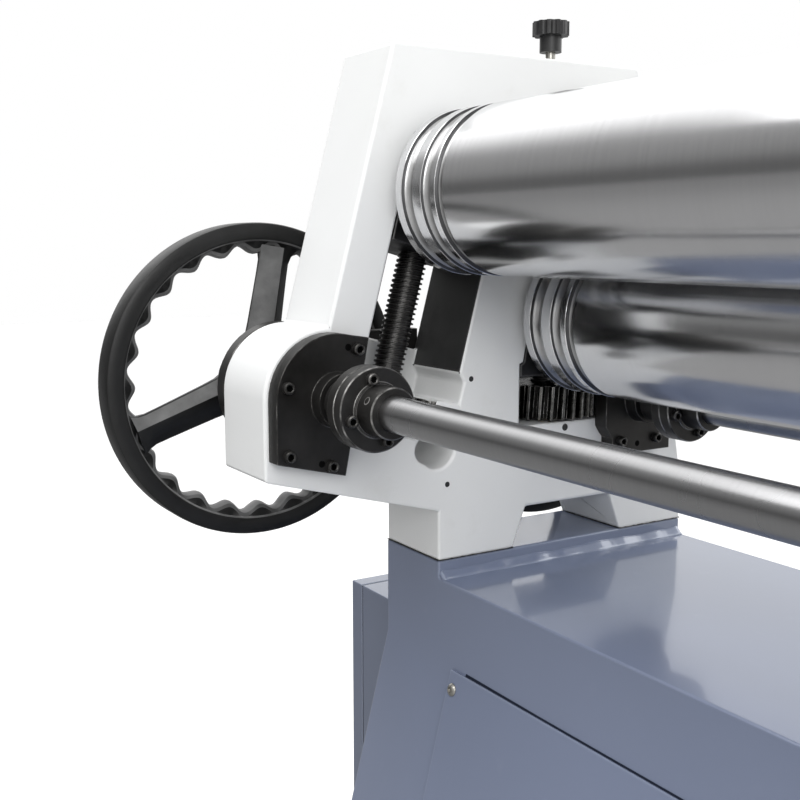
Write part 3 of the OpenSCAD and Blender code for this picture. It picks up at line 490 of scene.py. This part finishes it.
def helix(bm, origin, axis, length, root, crest, pitch):
    """A screw thread's ridge of given length (mm) round an axis, over a plain core."""
    sides = 28
    sunk = 0.3          # how deep the ridge's feet lie in the core
    b = basis(axis)
    steps = int(length / pitch * sides)
    # place along the axis as a share of the pitch, and radius
    shape = [(-0.5, root - sunk), (-0.30, root), (-0.14, crest),
             (0.14, crest), (0.30, root), (0.5, root - sunk)]
    rows = []
    for i in range(steps + 1):
        a = 2 * math.pi * i / sides
        fade = min(1, i / (sides * 0.5), (steps - i) / (sides * 0.5))
        row = []
        for share, r in shape:
            h = min(max(pitch * i / sides + share * pitch, 0), length)
            r = root - sunk + (r - root + sunk) * fade
            row.append(bm.verts.new(origin + b @ around(r, a, h)))
        rows.append(row)
    skin(bm, rows, closed=False, flip=True)


# Side frames, blocks, base and drive: the CAD shapes with rounded edges
LEAN_FROM = 150.0       # height over the base at which the window's wall starts to lean
LEAN_TO = 250.0
LEAN_START = 3.0        # how far the wall stands in at LEAN_FROM, over a band of LEAN_BAND
LEAN_BAND = 1.2
LEAN_RATE = 0.19
WINDOW_WALL_Y = PINCH_Y - WINDOW_HALF
BLOCK_WALL_Y = WINDOW_WALL_Y + 0.2
SLOT_V = (145, 335)     # along the slide, where the slot's walls are ground
WINDOW_Z = (140, 241)   # the same for the upright window
BORES = [(PINCH_Y, UPPER_Z, BUSH_R), (*BENDING_WORM, WORM_BORE_R), (*FEED_WORM, WORM_BORE_R)]


def lean_wall(bm, wall_y):
    """The wall of the upright window, or the block's side in it, leans in above the worm wheel's room."""
    for z in (LEAN_FROM, LEAN_FROM + LEAN_BAND):
        bmesh.ops.bisect_plane(bm, geom=list(bm.verts) + list(bm.edges) + list(bm.faces),
                               plane_co=(0, 0, (BASE_TOP + z) * MM), plane_no=UP, dist=1e-6)
    for v in bm.verts:
        y, z = own_measures(v.co)
        if abs(y - wall_y) < 0.5 and LEAN_FROM + 1 < z < LEAN_TO:
            v.co.y += (LEAN_START + (z - LEAN_FROM) * LEAN_RATE) * MM


def guide_face(c, n):
    """Is a point on a wall of the leaning slot or of the upright window?"""
    y, z = own_measures(c)
    u = y * math.cos(TILT) - z * math.sin(TILT)
    v = y * math.sin(TILT) + z * math.cos(TILT)
    in_slot = SLOT_V[0] < v < SLOT_V[1] and abs(abs(u - SLIDE_U) - SLOT_HALF) < 0.6
    # the leaning wall comes about 20 mm into the window
    on_wall = -0.6 < y - WINDOW_WALL_Y < 22 or abs(y - PINCH_Y - WINDOW_HALF) < 0.6
    return abs(n.x) < 0.3 and (in_slot or (WINDOW_Z[0] < z < WINDOW_Z[1] and on_wall))


def bore_wall(c, n):
    """Is a point on the wall of a round bore?"""
    y, z = own_measures(c)
    return abs(n.x) < 0.3 and any(abs(math.hypot(y - a, z - b) - r) < 1.5 for a, b, r in BORES)


for n in ("left_frame", "right_frame"):
    dress(n, 2.2, seg=3, angle=24, form=lambda bm: lean_wall(bm, WINDOW_WALL_Y),
          paint=[(GUIDE, guide_face), (BORE, bore_wall)])
# the plates' rounded edges take the painted highlight
for n in ("bending_worm_plates", "feed_worm_plates", "outer_worm_plates"):
    dress(n, 0.5, edge=DULL_EDGE_HIGHLIGHT)
for n in ("lower_block_left", "lower_block_right"):
    dress(n, 1.0, form=lambda bm: lean_wall(bm, BLOCK_WALL_Y))
for n, width in (("bending_block_left", 1.0), ("bending_block_right", 1.0), ("base_cabinet", 1.8),
                 ("floor_plates", 1.0), ("bending_side_cover", 0.8), ("feed_side_cover", 0.8),
                 ("drive_bracket", 1.2), ("gear_cover", 1.2), ("gearbox", 1.2), ("motor", 0.7),
                 ("motor_fan_cover", 0.6), ("side_cover_screws", 0.3)):
    dress(n, width)
for n in ("bending_cross_shaft", "feed_cross_shaft"):
    dress(n, 0.6, SHAFT)
# the box and its door take the darker copy of the blue: painted shade
for n in ("electrical_box", "box_door"):
    dress(n, 1.3, SHADED_BOX)


# Rolls
ROLL_SIDES = 144
ROLL_CHAMFER = 1.4
JOURNAL_CHAMFER = 1.0
# distance from the roll's left end, radius, and the share of the depth, from the lip down the left wall,
# painted dark as shade
WIRE_GROOVES = ((16, 7, 0.5), (39.5, 6, 0.5), (55.5, 4.5, 0.8))
GROOVE_STEPS = 16


def groove_points(centre, r, dark):
    """A wire groove's (radius, place, material number) points, with small lips; the outer part of its left
    wall takes the painted shade.
    """
    first = math.asin(1.0 / r)
    last = math.pi - first
    pts = [(ROLL_R, centre - r * math.cos(first) - 0.35, 0)]
    for i in range(GROOVE_STEPS + 1):
        a = first + (last - first) * i / GROOVE_STEPS
        depth = r * math.sin(a) - 1.0
        kind = 1 if depth < dark * (r - 1) and i < GROOVE_STEPS / 2 else 2
        lip = 0.3 if i in (0, GROOVE_STEPS) else 0
        pts.append((ROLL_R - depth - lip, centre - r * math.cos(a), kind))
    return pts + [(ROLL_R, centre - r * math.cos(last) + 0.35, 2)]


def roll(node, end_gap):
    """Ground roll with its journals, chamfered ends and three wire grooves at the left end."""
    lo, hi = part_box(node)
    end = FRAME_GAP / 2 - end_gap
    x0, x1 = lo[0] / MM, hi[0] / MM
    pts = [(JOURNAL_R - JOURNAL_CHAMFER, x0, 0), (JOURNAL_R, x0 + JOURNAL_CHAMFER, 0), (JOURNAL_R, -end, 0),
           (ROLL_R - ROLL_CHAMFER, -end, 0), (ROLL_R, -end + ROLL_CHAMFER, 0)]
    for at, r, dark in WIRE_GROOVES:
        pts += groove_points(-end + at, r, dark)
    pts += [(ROLL_R, end - ROLL_CHAMFER, 0), (ROLL_R - ROLL_CHAMFER, end, 0), (JOURNAL_R, end, 0),
            (JOURNAL_R, x1 - JOURNAL_CHAMFER, 0), (JOURNAL_R - JOURNAL_CHAMFER, x1, 0)]
    kinds = [q[2] if p[2] else 0 for p, q in zip(pts, pts[1:])]
    bm = bmesh.new()
    origin = Vector((0, (lo[1] + hi[1]) / 2, (lo[2] + hi[2]) / 2))
    lathe(bm, origin, X, [(r, h) for r, h, _ in pts], ROLL_SIDES, kinds=kinds)
    stand_in(node, bm, [MAT["ground_steel"], GROOVE_SHADE, GROOVE_BOTTOM], sharp=28)


roll("upper_roll", end_gap=9)
roll("lower_roll", end_gap=9)
roll("bending_roll", end_gap=14)


# Lifting screws
def spindles(node, length, axis, feet):
    """Two threaded spindles with a collar at the foot."""
    core = 10.2
    start = 5
    bm = bmesh.new()
    for p in feet:
        lathe(bm, p, axis, [(core, 0), (core, length)], 32)
        lathe(bm, p, axis, [(9.0, 0), (11.6, 1.2), (11.6, 3.0), (9.8, 4.2)], 32)
        helix(bm, p + axis * start * MM, axis, length - start - 0.5, root=9.9, crest=12.0, pitch=4.0)
    stand_in(node, bm, [THREAD], sharp=50)


FRAME_MIDS = (-FRAME_MID, FRAME_GAP + FRAME_MID)
BENDING_SPINDLE_L = 160.2
BENDING_SPINDLE_V = 83.0        # its foot, along the slide
spindles("bending_spindles", BENDING_SPINDLE_L, LEAN,
         [tilted(x, SLIDE_U, BENDING_SPINDLE_V) for x in FRAME_MIDS])
lo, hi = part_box("lower_spindles")
spindles("lower_spindles", (hi[2] - lo[2]) / MM, UP,
         [left(x, PINCH_Y, lo[2] / MM - BASE_TOP) for x in FRAME_MIDS])


# Handwheels
WHEEL_OUT = 125.0       # from the frame's inner face to the wheels' middle plane
RIM_STEPS = 432
FINGER_WAVES = 24
# distance from the axis, half width, half thickness at the sides, height of the ridge
SPOKE_SECTIONS = ((22, 17, 6.0, 11), (27, 15.2, 4.2, 10.6), (33, 14, 2.8, 10.2), (45, 13.4, 2.4, 10),
                  (65, 12.8, 2.2, 9.6), (85, 12.2, 2.2, 9.2), (96, 12.0, 2.4, 9.0), (102, 13.0, 3.6, 9.0),
                  (108, 16.0, 6.0, 9.2))
SPOKE_SPREAD = 1.08     # the sections' widths, times this
SPOKE_INWARD = 2.5      # the spokes sit a little towards the frame


def rim_section(nose):
    """The rim's (radius, height) points round its section; nose is the radius of its inner side."""
    half = [(125.9, 0.0), (125.9, 9.4), (125.2, 11.6), (123.2, 12.8), (114.0, 12.9), (112.6, 12.2),
            (111.4, 10.2), (nose + 4.4, 7.6), (nose + 1.6, 6.4), (nose + 0.3, 3.8), (nose, 0.0)]
    return half + [(r, -h) for r, h in half[-2:0:-1]]


def spoke_section(half_w, edge, ridge):
    """A roof-shaped section with its ridge nearer one side and its corners cut."""
    side = half_w - 0.8
    low = edge - 1.2
    back = ridge - 2
    return [(-side, edge), (-4.2, ridge), (-3.4, ridge), (side, edge), (half_w, low), (half_w, -low),
            (side, -edge), (-3.4, -back), (-4.2, -back), (-side, -edge), (-half_w, -low), (-half_w, low)]


def handwheel(node, turn):
    """Cast wheel: a rim with a flat side, a ridge and finger waves inside, and roof-shaped spokes."""
    lo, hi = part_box(node)
    c = Vector((left(-WHEEL_OUT, 0, 0).x, (lo[1] + hi[1]) / 2, (lo[2] + hi[2]) / 2))
    bm = bmesh.new()
    rim = []
    for i in range(RIM_STEPS):
        a = 2 * math.pi * i / RIM_STEPS
        nose = 104.4 - 3.4 * math.cos(FINGER_WAVES * a)
        rim.append([bm.verts.new(c + Vector((h, r * math.cos(a), r * math.sin(a))) * MM)
                    for r, h in rim_section(nose)])
    # the finger waves and the ridge before them take the paler paint of a painted highlight
    skin(bm, rim + rim[:1], kind=lambda row, i: int(i in (5, 7, 8, 9, 10, 11)))
    # hub, with shallow recesses in its ends
    lathe(bm, c, X, [(12.1, 19.0), (24.6, 19.6), (26.0, 18.2), (26.0, 9), (27.5, 7.5), (27.5, -9.0),
                     (26.0, -11.0), (26.0, -14.6), (24.6, -16.0), (12.1, -15.6)], 72, cap=False)
    for k in range(3):
        a = math.radians(turn + 120 * k)
        out = Vector((0, math.cos(a), math.sin(a)))
        across = Vector((0, -math.sin(a), math.cos(a)))
        rows = []
        for r, half_w, edge, ridge in SPOKE_SECTIONS:
            rows.append([bm.verts.new(c + (out * r + across * u * SPOKE_SPREAD + X * (h + SPOKE_INWARD)) * MM)
                         for u, h in spoke_section(half_w, edge, ridge)])
        # paler paint, a painted highlight, on facets chosen by which way the spoke turns
        lit_facets = (2, 3, 7) if across.z * 0.8 > across.y * 0.6 else (0, 6, 8)
        skin(bm, rows, flip=True, kind=lambda row, i: int(i in lit_facets))
        close_ends(bm, rows, flip=True)
    stand_in(node, bm, [MAT["black_gloss_paint"], LIT_FACET_PAINT], sharp=34)


handwheel("bending_handwheel", turn=80)
handwheel("feed_handwheel", turn=50)


# Couplings and socket screws
def couplings(node, y, z):
    """Two flanged halves with a groove where they meet, and paler edges: a painted highlight."""
    # radius, distance from the frame, and the material number of the strip before the point
    profile = [(12.06, 28.0, 0), (16.7, 28.0, 0), (17.5, 28.8, 1), (17.5, 52.5, 0), (18.1, 53.0, 0),
               (28.3, 53.0, 0), (29.0, 53.7, 1), (29.0, 61.7, 0), (28.35, 62.2, 1), (28.3, 62.6, 2),
               (29.0, 63.1, 1), (29.0, 71.3, 0), (28.3, 72.0, 1), (19.3, 72.0, 0), (19.0, 72.3, 1),
               (18.9, 73.2, 0), (17.5, 73.5, 0), (17.5, 91.2, 0), (16.7, 92.0, 1), (12.06, 92.0, 0)]
    bm = bmesh.new()
    for x, axis in ((0.0, X), (FRAME_GAP, -X)):
        lathe(bm, left(x, y, z), axis, [(r, h) for r, h, _ in profile], 96, cap=False,
              kinds=[kind for _, _, kind in profile[1:]])
    stand_in(node, bm, [MAT["black_steel"], EDGE_HIGHLIGHT, DARK], sharp=24)


def screw_ring(bm, place, r, at, spin, six=False):
    """A ring of vertices at a height (mm) over the head's face; six makes it a hexagon with corners at r."""
    origin, b = place
    sides = 24
    ring = []
    for i in range(sides):
        a = 2 * math.pi * i / sides
        q = r * math.cos(math.pi / 6) / math.cos(a % (math.pi / 3) - math.pi / 6) if six else r
        ring.append(bm.verts.new(origin + b @ around(q, a + spin, at)))
    return ring


def socket_screws(node, head_r, head_h, shank_r, across_flats, nut_r=0.0):
    """Cap screws with a chamfered head and a hexagon socket. The heads look towards the machine's middle,
    and outwards on the plates outside the frames."""
    bm = bmesh.new()
    for lo, hi in islands(node):
        mid = (lo + hi) / 2
        side = -1.0 if mid.x > 0 else 1.0
        if not nut_r and abs(mid.x) / MM > FRAME_GAP / 2 + 30:
            side = -side
        top, tail = (hi.x, lo.x) if side > 0 else (lo.x, hi.x)
        length = abs(top - tail) / MM
        place = (Vector((top, mid.y, mid.z)), basis(X * side))
        spin = random.uniform(0, math.pi)
        socket_r = across_flats / 2 / math.cos(math.pi / 6)
        # radius, height over the head's face, hexagon or round, material number of the strip before
        rings = [(shank_r, -length, False, 0)]
        if nut_r:
            rings += [(nut_r * 0.9, -length, False, 0), (nut_r, 0.5 - length, True, 0),
                      (nut_r, 3 - length, True, 0), (shank_r, 3 - length, False, 0)]
        rings += [(shank_r, -head_h, False, 0), (head_r - 0.2, -head_h, False, 0),
                  (head_r, 0.25 - head_h, False, 0), (head_r, -0.75, False, 0), (head_r - 0.75, 0, False, 1),
                  (socket_r + 0.45, 0, False, 0), (socket_r, -0.45, True, 1),
                  (socket_r * 0.94, 0.9 - head_h, True, 2)]
        # the rim of the head and the socket's lip take the painted highlight
        rows = [screw_ring(bm, place, r, at, spin, six) for r, at, six, _ in rings]
        skin(bm, rows, kind=lambda row, i: rings[row + 1][3])
        # the socket's walls and floor take the painted shade
        bm.faces.new(rows[-1]).material_index = 2
        bm.faces.new(rows[0][::-1])
    stand_in(node, bm, [MAT["black_steel"], DULL_EDGE_HIGHLIGHT, HOLE_SHADE], sharp=30)


couplings("bending_couplings", *BENDING_WORM)
couplings("feed_couplings", *FEED_WORM)
for n in ("bending_coupling_screws", "feed_coupling_screws"):
    socket_screws(n, head_r=4.1, head_h=4.5, shank_r=2.5, across_flats=4.0, nut_r=4.4)
socket_screws("worm_plate_screws", head_r=4.3, head_h=5.0, shank_r=3.29, across_flats=4.2)


# Small holes and set screws
TAPPED_HOLES = ((29.6, 141.8), (7.7, 60.5), (232.0, 52.0))      # y and z in the frames' inner faces
WIDE_HOLE = (125.4, 95.2)
BENDING_DOWELS = ((-0.2, 38.0), (-0.1, -46.9))      # from the worm's axis, square to the slide and along it
FEED_DOWEL = (-4.6, -38.8)                          # from the worm's axis, y and z
SET_SCREW_X = 83.0                                  # from the frame's inner face
SET_SCREW_R = 17.4                                  # where they stand on the hub
SET_SCREW_ANGLES = (150, 60)


def hole_mouths(name, places, mat):
    """Drilled holes shown as dark discs in their faces, painted shade for their depth, at (point, axis,
    radius) places.
    """
    bm = bmesh.new()
    for p, axis, r in places:
        lathe(bm, p, axis, [(r + 0.5, -0.3), (r + 0.5, 0.02), (r, 0.06), (r * 0.8, 0.05)], 20)
    mesh_object(name, bm, [mat], "base")


def frame_holes():
    """Small tapped holes and a wider one in each frame's inner face."""
    places = []
    for x, axis in ((0, X), (FRAME_GAP, -X)):
        places += [(left(x, y, z), axis, 1.7) for y, z in TAPPED_HOLES]
        places.append((left(x, *WIDE_HOLE), axis, 2.5))
    hole_mouths("frame_tapped_holes", places, HOLE_SHADE_AND_JOINT)


def plate_dowels():
    """Dowel holes in the worm plates."""
    places = []
    for x, axis in ((PLATE_T, X), (FRAME_GAP - PLATE_T, -X)):
        for u, v in BENDING_DOWELS:
            places.append((tilted(x, BENDING_WORM_U + u, BENDING_WORM_V + v), axis, 2.0))
        places.append((left(x, FEED_WORM[0] + FEED_DOWEL[0], FEED_WORM[1] + FEED_DOWEL[1]), axis, 2.0))
    hole_mouths("plate_dowel_holes", places, HOLE_SHADE)


def set_screws(drive, y, z):
    """Set screws in the hubs of a drive's couplings."""
    bm = bmesh.new()
    for x in (SET_SCREW_X, FRAME_GAP - SET_SCREW_X):
        for a in SET_SCREW_ANGLES:
            out = Vector((0, math.cos(math.radians(a)), math.sin(math.radians(a))))
            profile = [(2.9, -0.6), (2.9, 0.12), (2.1, 0.22), (2.0, -0.2), (0.6, -0.25)]
            # a rim of painted highlight and a socket of painted shade
            lathe(bm, left(x, y, z) + out * SET_SCREW_R * MM, out, profile, 20, kinds=[0, 1, 2, 2])
    mesh_object(drive + "_set_screws", bm, [MAT["black_steel"], EDGE_HIGHLIGHT, HOLE_SHADE], drive + "_drive")


frame_holes()
plate_dowels()
set_screws("bending", *BENDING_WORM)
set_screws("feed", *FEED_WORM)


# Joints between base, covers and frames
STRIP_H = 14.0          # height of the base's raised strips
WELD_LEG = 5.2
WELD_STEPS = 150
SEAM_START = 17.0       # from the cover's left corner
SEAM_END = 2.0          # from its right corner
SEAM_NARROWS = 90.0     # from the seam's start to where it is narrower
SEAM_HEIGHTS = (2.0, 1.3, 0.9)
FILLER_FROM = 20.0      # the shortest edge of a foot that gets filler
FILLER_STEP = 2.5
FILLER_HEIGHTS = (0.3, 0.4, 0.5, 0.6, 0.6, 0.9)


def weld_bead():
    """Painted weld along the foot of each raised strip."""
    bm = bmesh.new()
    for side in (-1, 1):
        rows = []
        for i in range(WELD_STEPS + 1):
            y = -HALF_FOOT + 1.0 + (2 * HALF_FOOT - 2.0) * i / WELD_STEPS
            swell = 1 + 0.10 * math.sin(y * 0.07 + side) + 0.05 * math.sin(y * 0.19 + 2)
            swell += random.uniform(-0.006, 0.006)
            r = WELD_LEG * swell * min(1, (y + HALF_FOOT) / 4 + 0.3, (HALF_FOOT - y) / 4 + 0.3)
            section = [(-0.5, r * 1.15), (0.5, r * 1.15), (r * 0.32, r * 0.86), (r * 0.62, r * 0.64),
                       (r * 0.86, r * 0.34), (r * 1.2, 0.5), (r * 1.2, -0.5)]
            rows.append([bm.verts.new(Vector((side * (FRAME_GAP / 2 - a), y, BASE_TOP - STRIP_H + b)) * MM)
                         for a, b in section])
        skin(bm, rows, closed=False)
        close_ends(bm, rows, flip=True)
    mesh_object("strip_weld", bm, [MAT["blue_paint"]], "base", sharp=60)


def cover_seam(node):
    """The shadow gap over a side cover's top edge, a little short of its corner."""
    vs = [v.co for v in NODES[node].data.vertices]
    top = max(v.z for v in vs)
    rim = sorted((v for v in vs if v.z > top - 4 * MM), key=lambda v: abs(v.y))
    inner = rim[0]
    outer = rim[-1]
    out = Vector((0, outer.y - inner.y, outer.z - inner.z)).normalized()
    up = Vector((0, -out.z, out.y)) * (1 if out.y > 0 else -1)
    start = min(v.x for v in vs) + SEAM_START * MM
    end = max(v.x for v in vs) - SEAM_END * MM
    bm = bmesh.new()
    rows = []
    for x, height in zip((start, start + SEAM_NARROWS * MM, end), SEAM_HEIGHTS):
        foot = Vector((x, inner.y, inner.z))
        rows.append([bm.verts.new(foot + up * (u * height * MM) + out * (w * MM))
                     for u, w in ((-0.2, -0.3), (1, -0.3), (1, 0.3), (-0.2, 0.3))])
    skin(bm, rows, flip=True)
    close_ends(bm, rows, flip=True)
    mesh_object(node + "_seam", bm, [SEAM], "base", smooth=False)


def foot_walls(me):
    """The edges where a frame's upright walls stand on the base, each with its wall's normal."""
    walls = {}
    for p in me.polygons:
        if abs(p.normal.z) < 0.9:
            for pair in p.edge_keys:
                if all(abs(me.vertices[i].co.z - BASE_TOP * MM) < 1e-5 for i in pair):
                    walls[pair] = p.normal.copy()
    return walls


def foot_joint():
    """Thin dark joint with filler under the feet of the frames."""
    bm = bmesh.new()
    for node in ("left_frame", "right_frame"):
        me = NODES[node].data
        for pair, normal in foot_walls(me).items():
            p, q = (me.vertices[i].co for i in pair)
            out = Vector((normal.x, normal.y, 0)).normalized()
            if (p - q).length < FILLER_FROM * MM:
                continue
            steps = max(2, int((p - q).length / MM / FILLER_STEP))
            rows = []
            for i in range(steps + 1):
                foot = p.lerp(q, i / steps)
                h = random.choice(FILLER_HEIGHTS)
                proud = random.uniform(0.1, 0.4)
                rows.append([bm.verts.new(foot + (out * a + UP * b) * MM)
                             for a, b in ((-3, h), (proud, h), (proud + 0.3, 0.1))])
            skin(bm, rows, closed=False)
    mesh_object("foot_joint", bm, [HOLE_SHADE_AND_JOINT], "base", smooth=False)


weld_bead()
cover_seam("bending_side_cover")
cover_seam("feed_side_cover")
foot_joint()


# Worm wheels: pale tips and roots darkened by grease and painted shade, at these radii in metres
WHEEL_TIP = 0.0432
WHEEL_ROOT = 0.0368
for n in ("lower_wheel_left", "lower_wheel_right", "bending_wheel_left", "bending_wheel_right"):
    lo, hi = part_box(n)
    mid = [(a + b) / 2 for a, b in zip(lo, hi)]
    axis = UP if n.startswith("lower") else LEAN
    # the wheels' rounded edges take the painted highlight
    dress(n, 0.4, gear_steel(mid, axis, WHEEL_TIP, WHEEL_ROOT), seg=1, angle=40, edge=EDGE_HIGHLIGHT)

# CAD nodes that keep their own mesh
for n, o in NODES.items():
    if not o.hide_render:
        o.data.materials.clear()
        o.data.materials.append(MAT[SLOT[n]])
        o.data.polygons.foreach_set("use_smooth", [True] * len(o.data.polygons))


# Stage, light and camera, in metres
def put(name, data, place, aim):
    """An object at a place, looking along a direction."""
    o = bpy.data.objects.new(name, data)
    o.location = place
    o.rotation_mode = "QUATERNION"
    o.rotation_quaternion = aim.to_track_quat("-Z", "Y")
    bpy.context.scene.collection.objects.link(o)
    return o


def area(name, place, target, size, power):
    """A rectangular lamp that looks at a target."""
    lamp = bpy.data.lights.new(name, "AREA")
    lamp.shape = "RECTANGLE"
    lamp.size, lamp.size_y = size
    lamp.energy = power
    put(name, lamp, place, Vector(target) - Vector(place))


area("key", (-0.6, -1.8, 3.9), (-0.3, 0, 0.9), (4.2, 2.4), 93)
area("fill", (2.9, -1.9, 2.5), (-0.4, 0, 0.85), (2.4, 2.0), 72)
area("back", (-0.2, 2.4, 2.3), (-0.2, 0, 0.7), (3.0, 1.2), 42)

SKY_TOP = 3.0       # the level that a ramp's white stands for
FLOOR_SIZE = 14.0
LENS_MM = 49.7
SENSOR_MM = 36.0
CAMERA_PLACE = (0.038, -0.5982, 1.0081)
CAMERA_AIM = Vector((-0.8412, 0.5216, -0.1425))


def sky(graph, fac, stops):
    """Levels along one measure of the direction."""
    return graph.ramp(fac, [(p, level / SKY_TOP) for p, level in stops])


def surroundings(tree):
    """What the object reflects; the camera itself sees white."""
    g = Graph(tree, "Generated")
    way = g.add("ShaderNodeSeparateXYZ", Vector=g.co).outputs
    # the side that the rolls reflect, by the turn in degrees round X, up from the front: dark at
    # eye level, a bright strip overhead, and somewhat less bright down to the back
    turn = g.math("ARCTAN2", way["Z"], g.math("MULTIPLY", way["Y"], -1.0))
    strip = sky(g, g.math("MULTIPLY_ADD", turn, 0.5 / math.pi, 0.5), [(a / 360 + 0.5, level) for a, level in (
        (-180, 0.25), (-20, 0.2), (-7, 0.13), (0, 0.11), (6, 0.12), (11, 0.17), (17, 0.24), (24, 0.28),
        (34, 0.31), (42, 0.36), (48, 0.47), (54, 0.66), (62, 1.0), (70, 1.3), (78, 1.5), (84, 1.8),
        (104, 1.8), (114, 1.4), (150, 1.2), (175, 1.15), (180, 0.7))])
    # the other side, by height: a plain bright room
    room = sky(g, g.math("MULTIPLY_ADD", way["Z"], 0.5, 0.5), [
        (0.0, 0.3), (0.49, 0.35), (0.52, 0.55), (0.62, 0.7), (0.75, 0.85), (1.0, 0.95)])
    share = g.span(way["X"], -0.3, 0.15, interpolation_type="SMOOTHSTEP")
    light = g.add("ShaderNodeVectorMath", operation="SCALE", Scale=SKY_TOP)
    g.feed(light.inputs[0], g.mix(share, strip, room))
    camera_ray = g.add("ShaderNodeLightPath").outputs["Is Camera Ray"]
    g.feed(tree.nodes["Background"].inputs["Color"], g.mix(camera_ray, light.outputs[0], (1, 1, 1, 1)))


def floor_paint():
    """Dark at the object's left end and paler to the right; the camera itself sees it nearly white."""
    m = Finish("floor")
    camera_ray = m.add("ShaderNodeLightPath").outputs["Is Camera Ray"]
    across = m.span(m.add("ShaderNodeSeparateXYZ", Vector=m.co).outputs["X"], -0.8, 1.2)
    seen = m.ramp(m.noise(1.5, 2.0), [(0.3, 0.97), (0.7, 0.99)])
    return m.set(color=m.mix(camera_ray, m.ramp(across, [(0.0, 0.2), (1.0, 0.62)]), seen), rough=0.8)


scene = bpy.context.scene
scene.world = bpy.data.worlds.new("studio")
scene.world.use_nodes = True
surroundings(scene.world.node_tree)

bm = bmesh.new()
bmesh.ops.create_grid(bm, x_segments=8, y_segments=8, size=FLOOR_SIZE)
me = bpy.data.meshes.new("floor")
bm.to_mesh(me)
bm.free()
me.materials.append(floor_paint())
floor = bpy.data.objects.new("floor", me)
scene.collection.objects.link(floor)

cam = bpy.data.cameras.new("camera")
cam.lens = LENS_MM
cam.sensor_width = SENSOR_MM
cam.clip_start = 0.02
scene.camera = put("camera", cam, CAMERA_PLACE, CAMERA_AIM)
scene.view_settings.view_transform = "Standard"
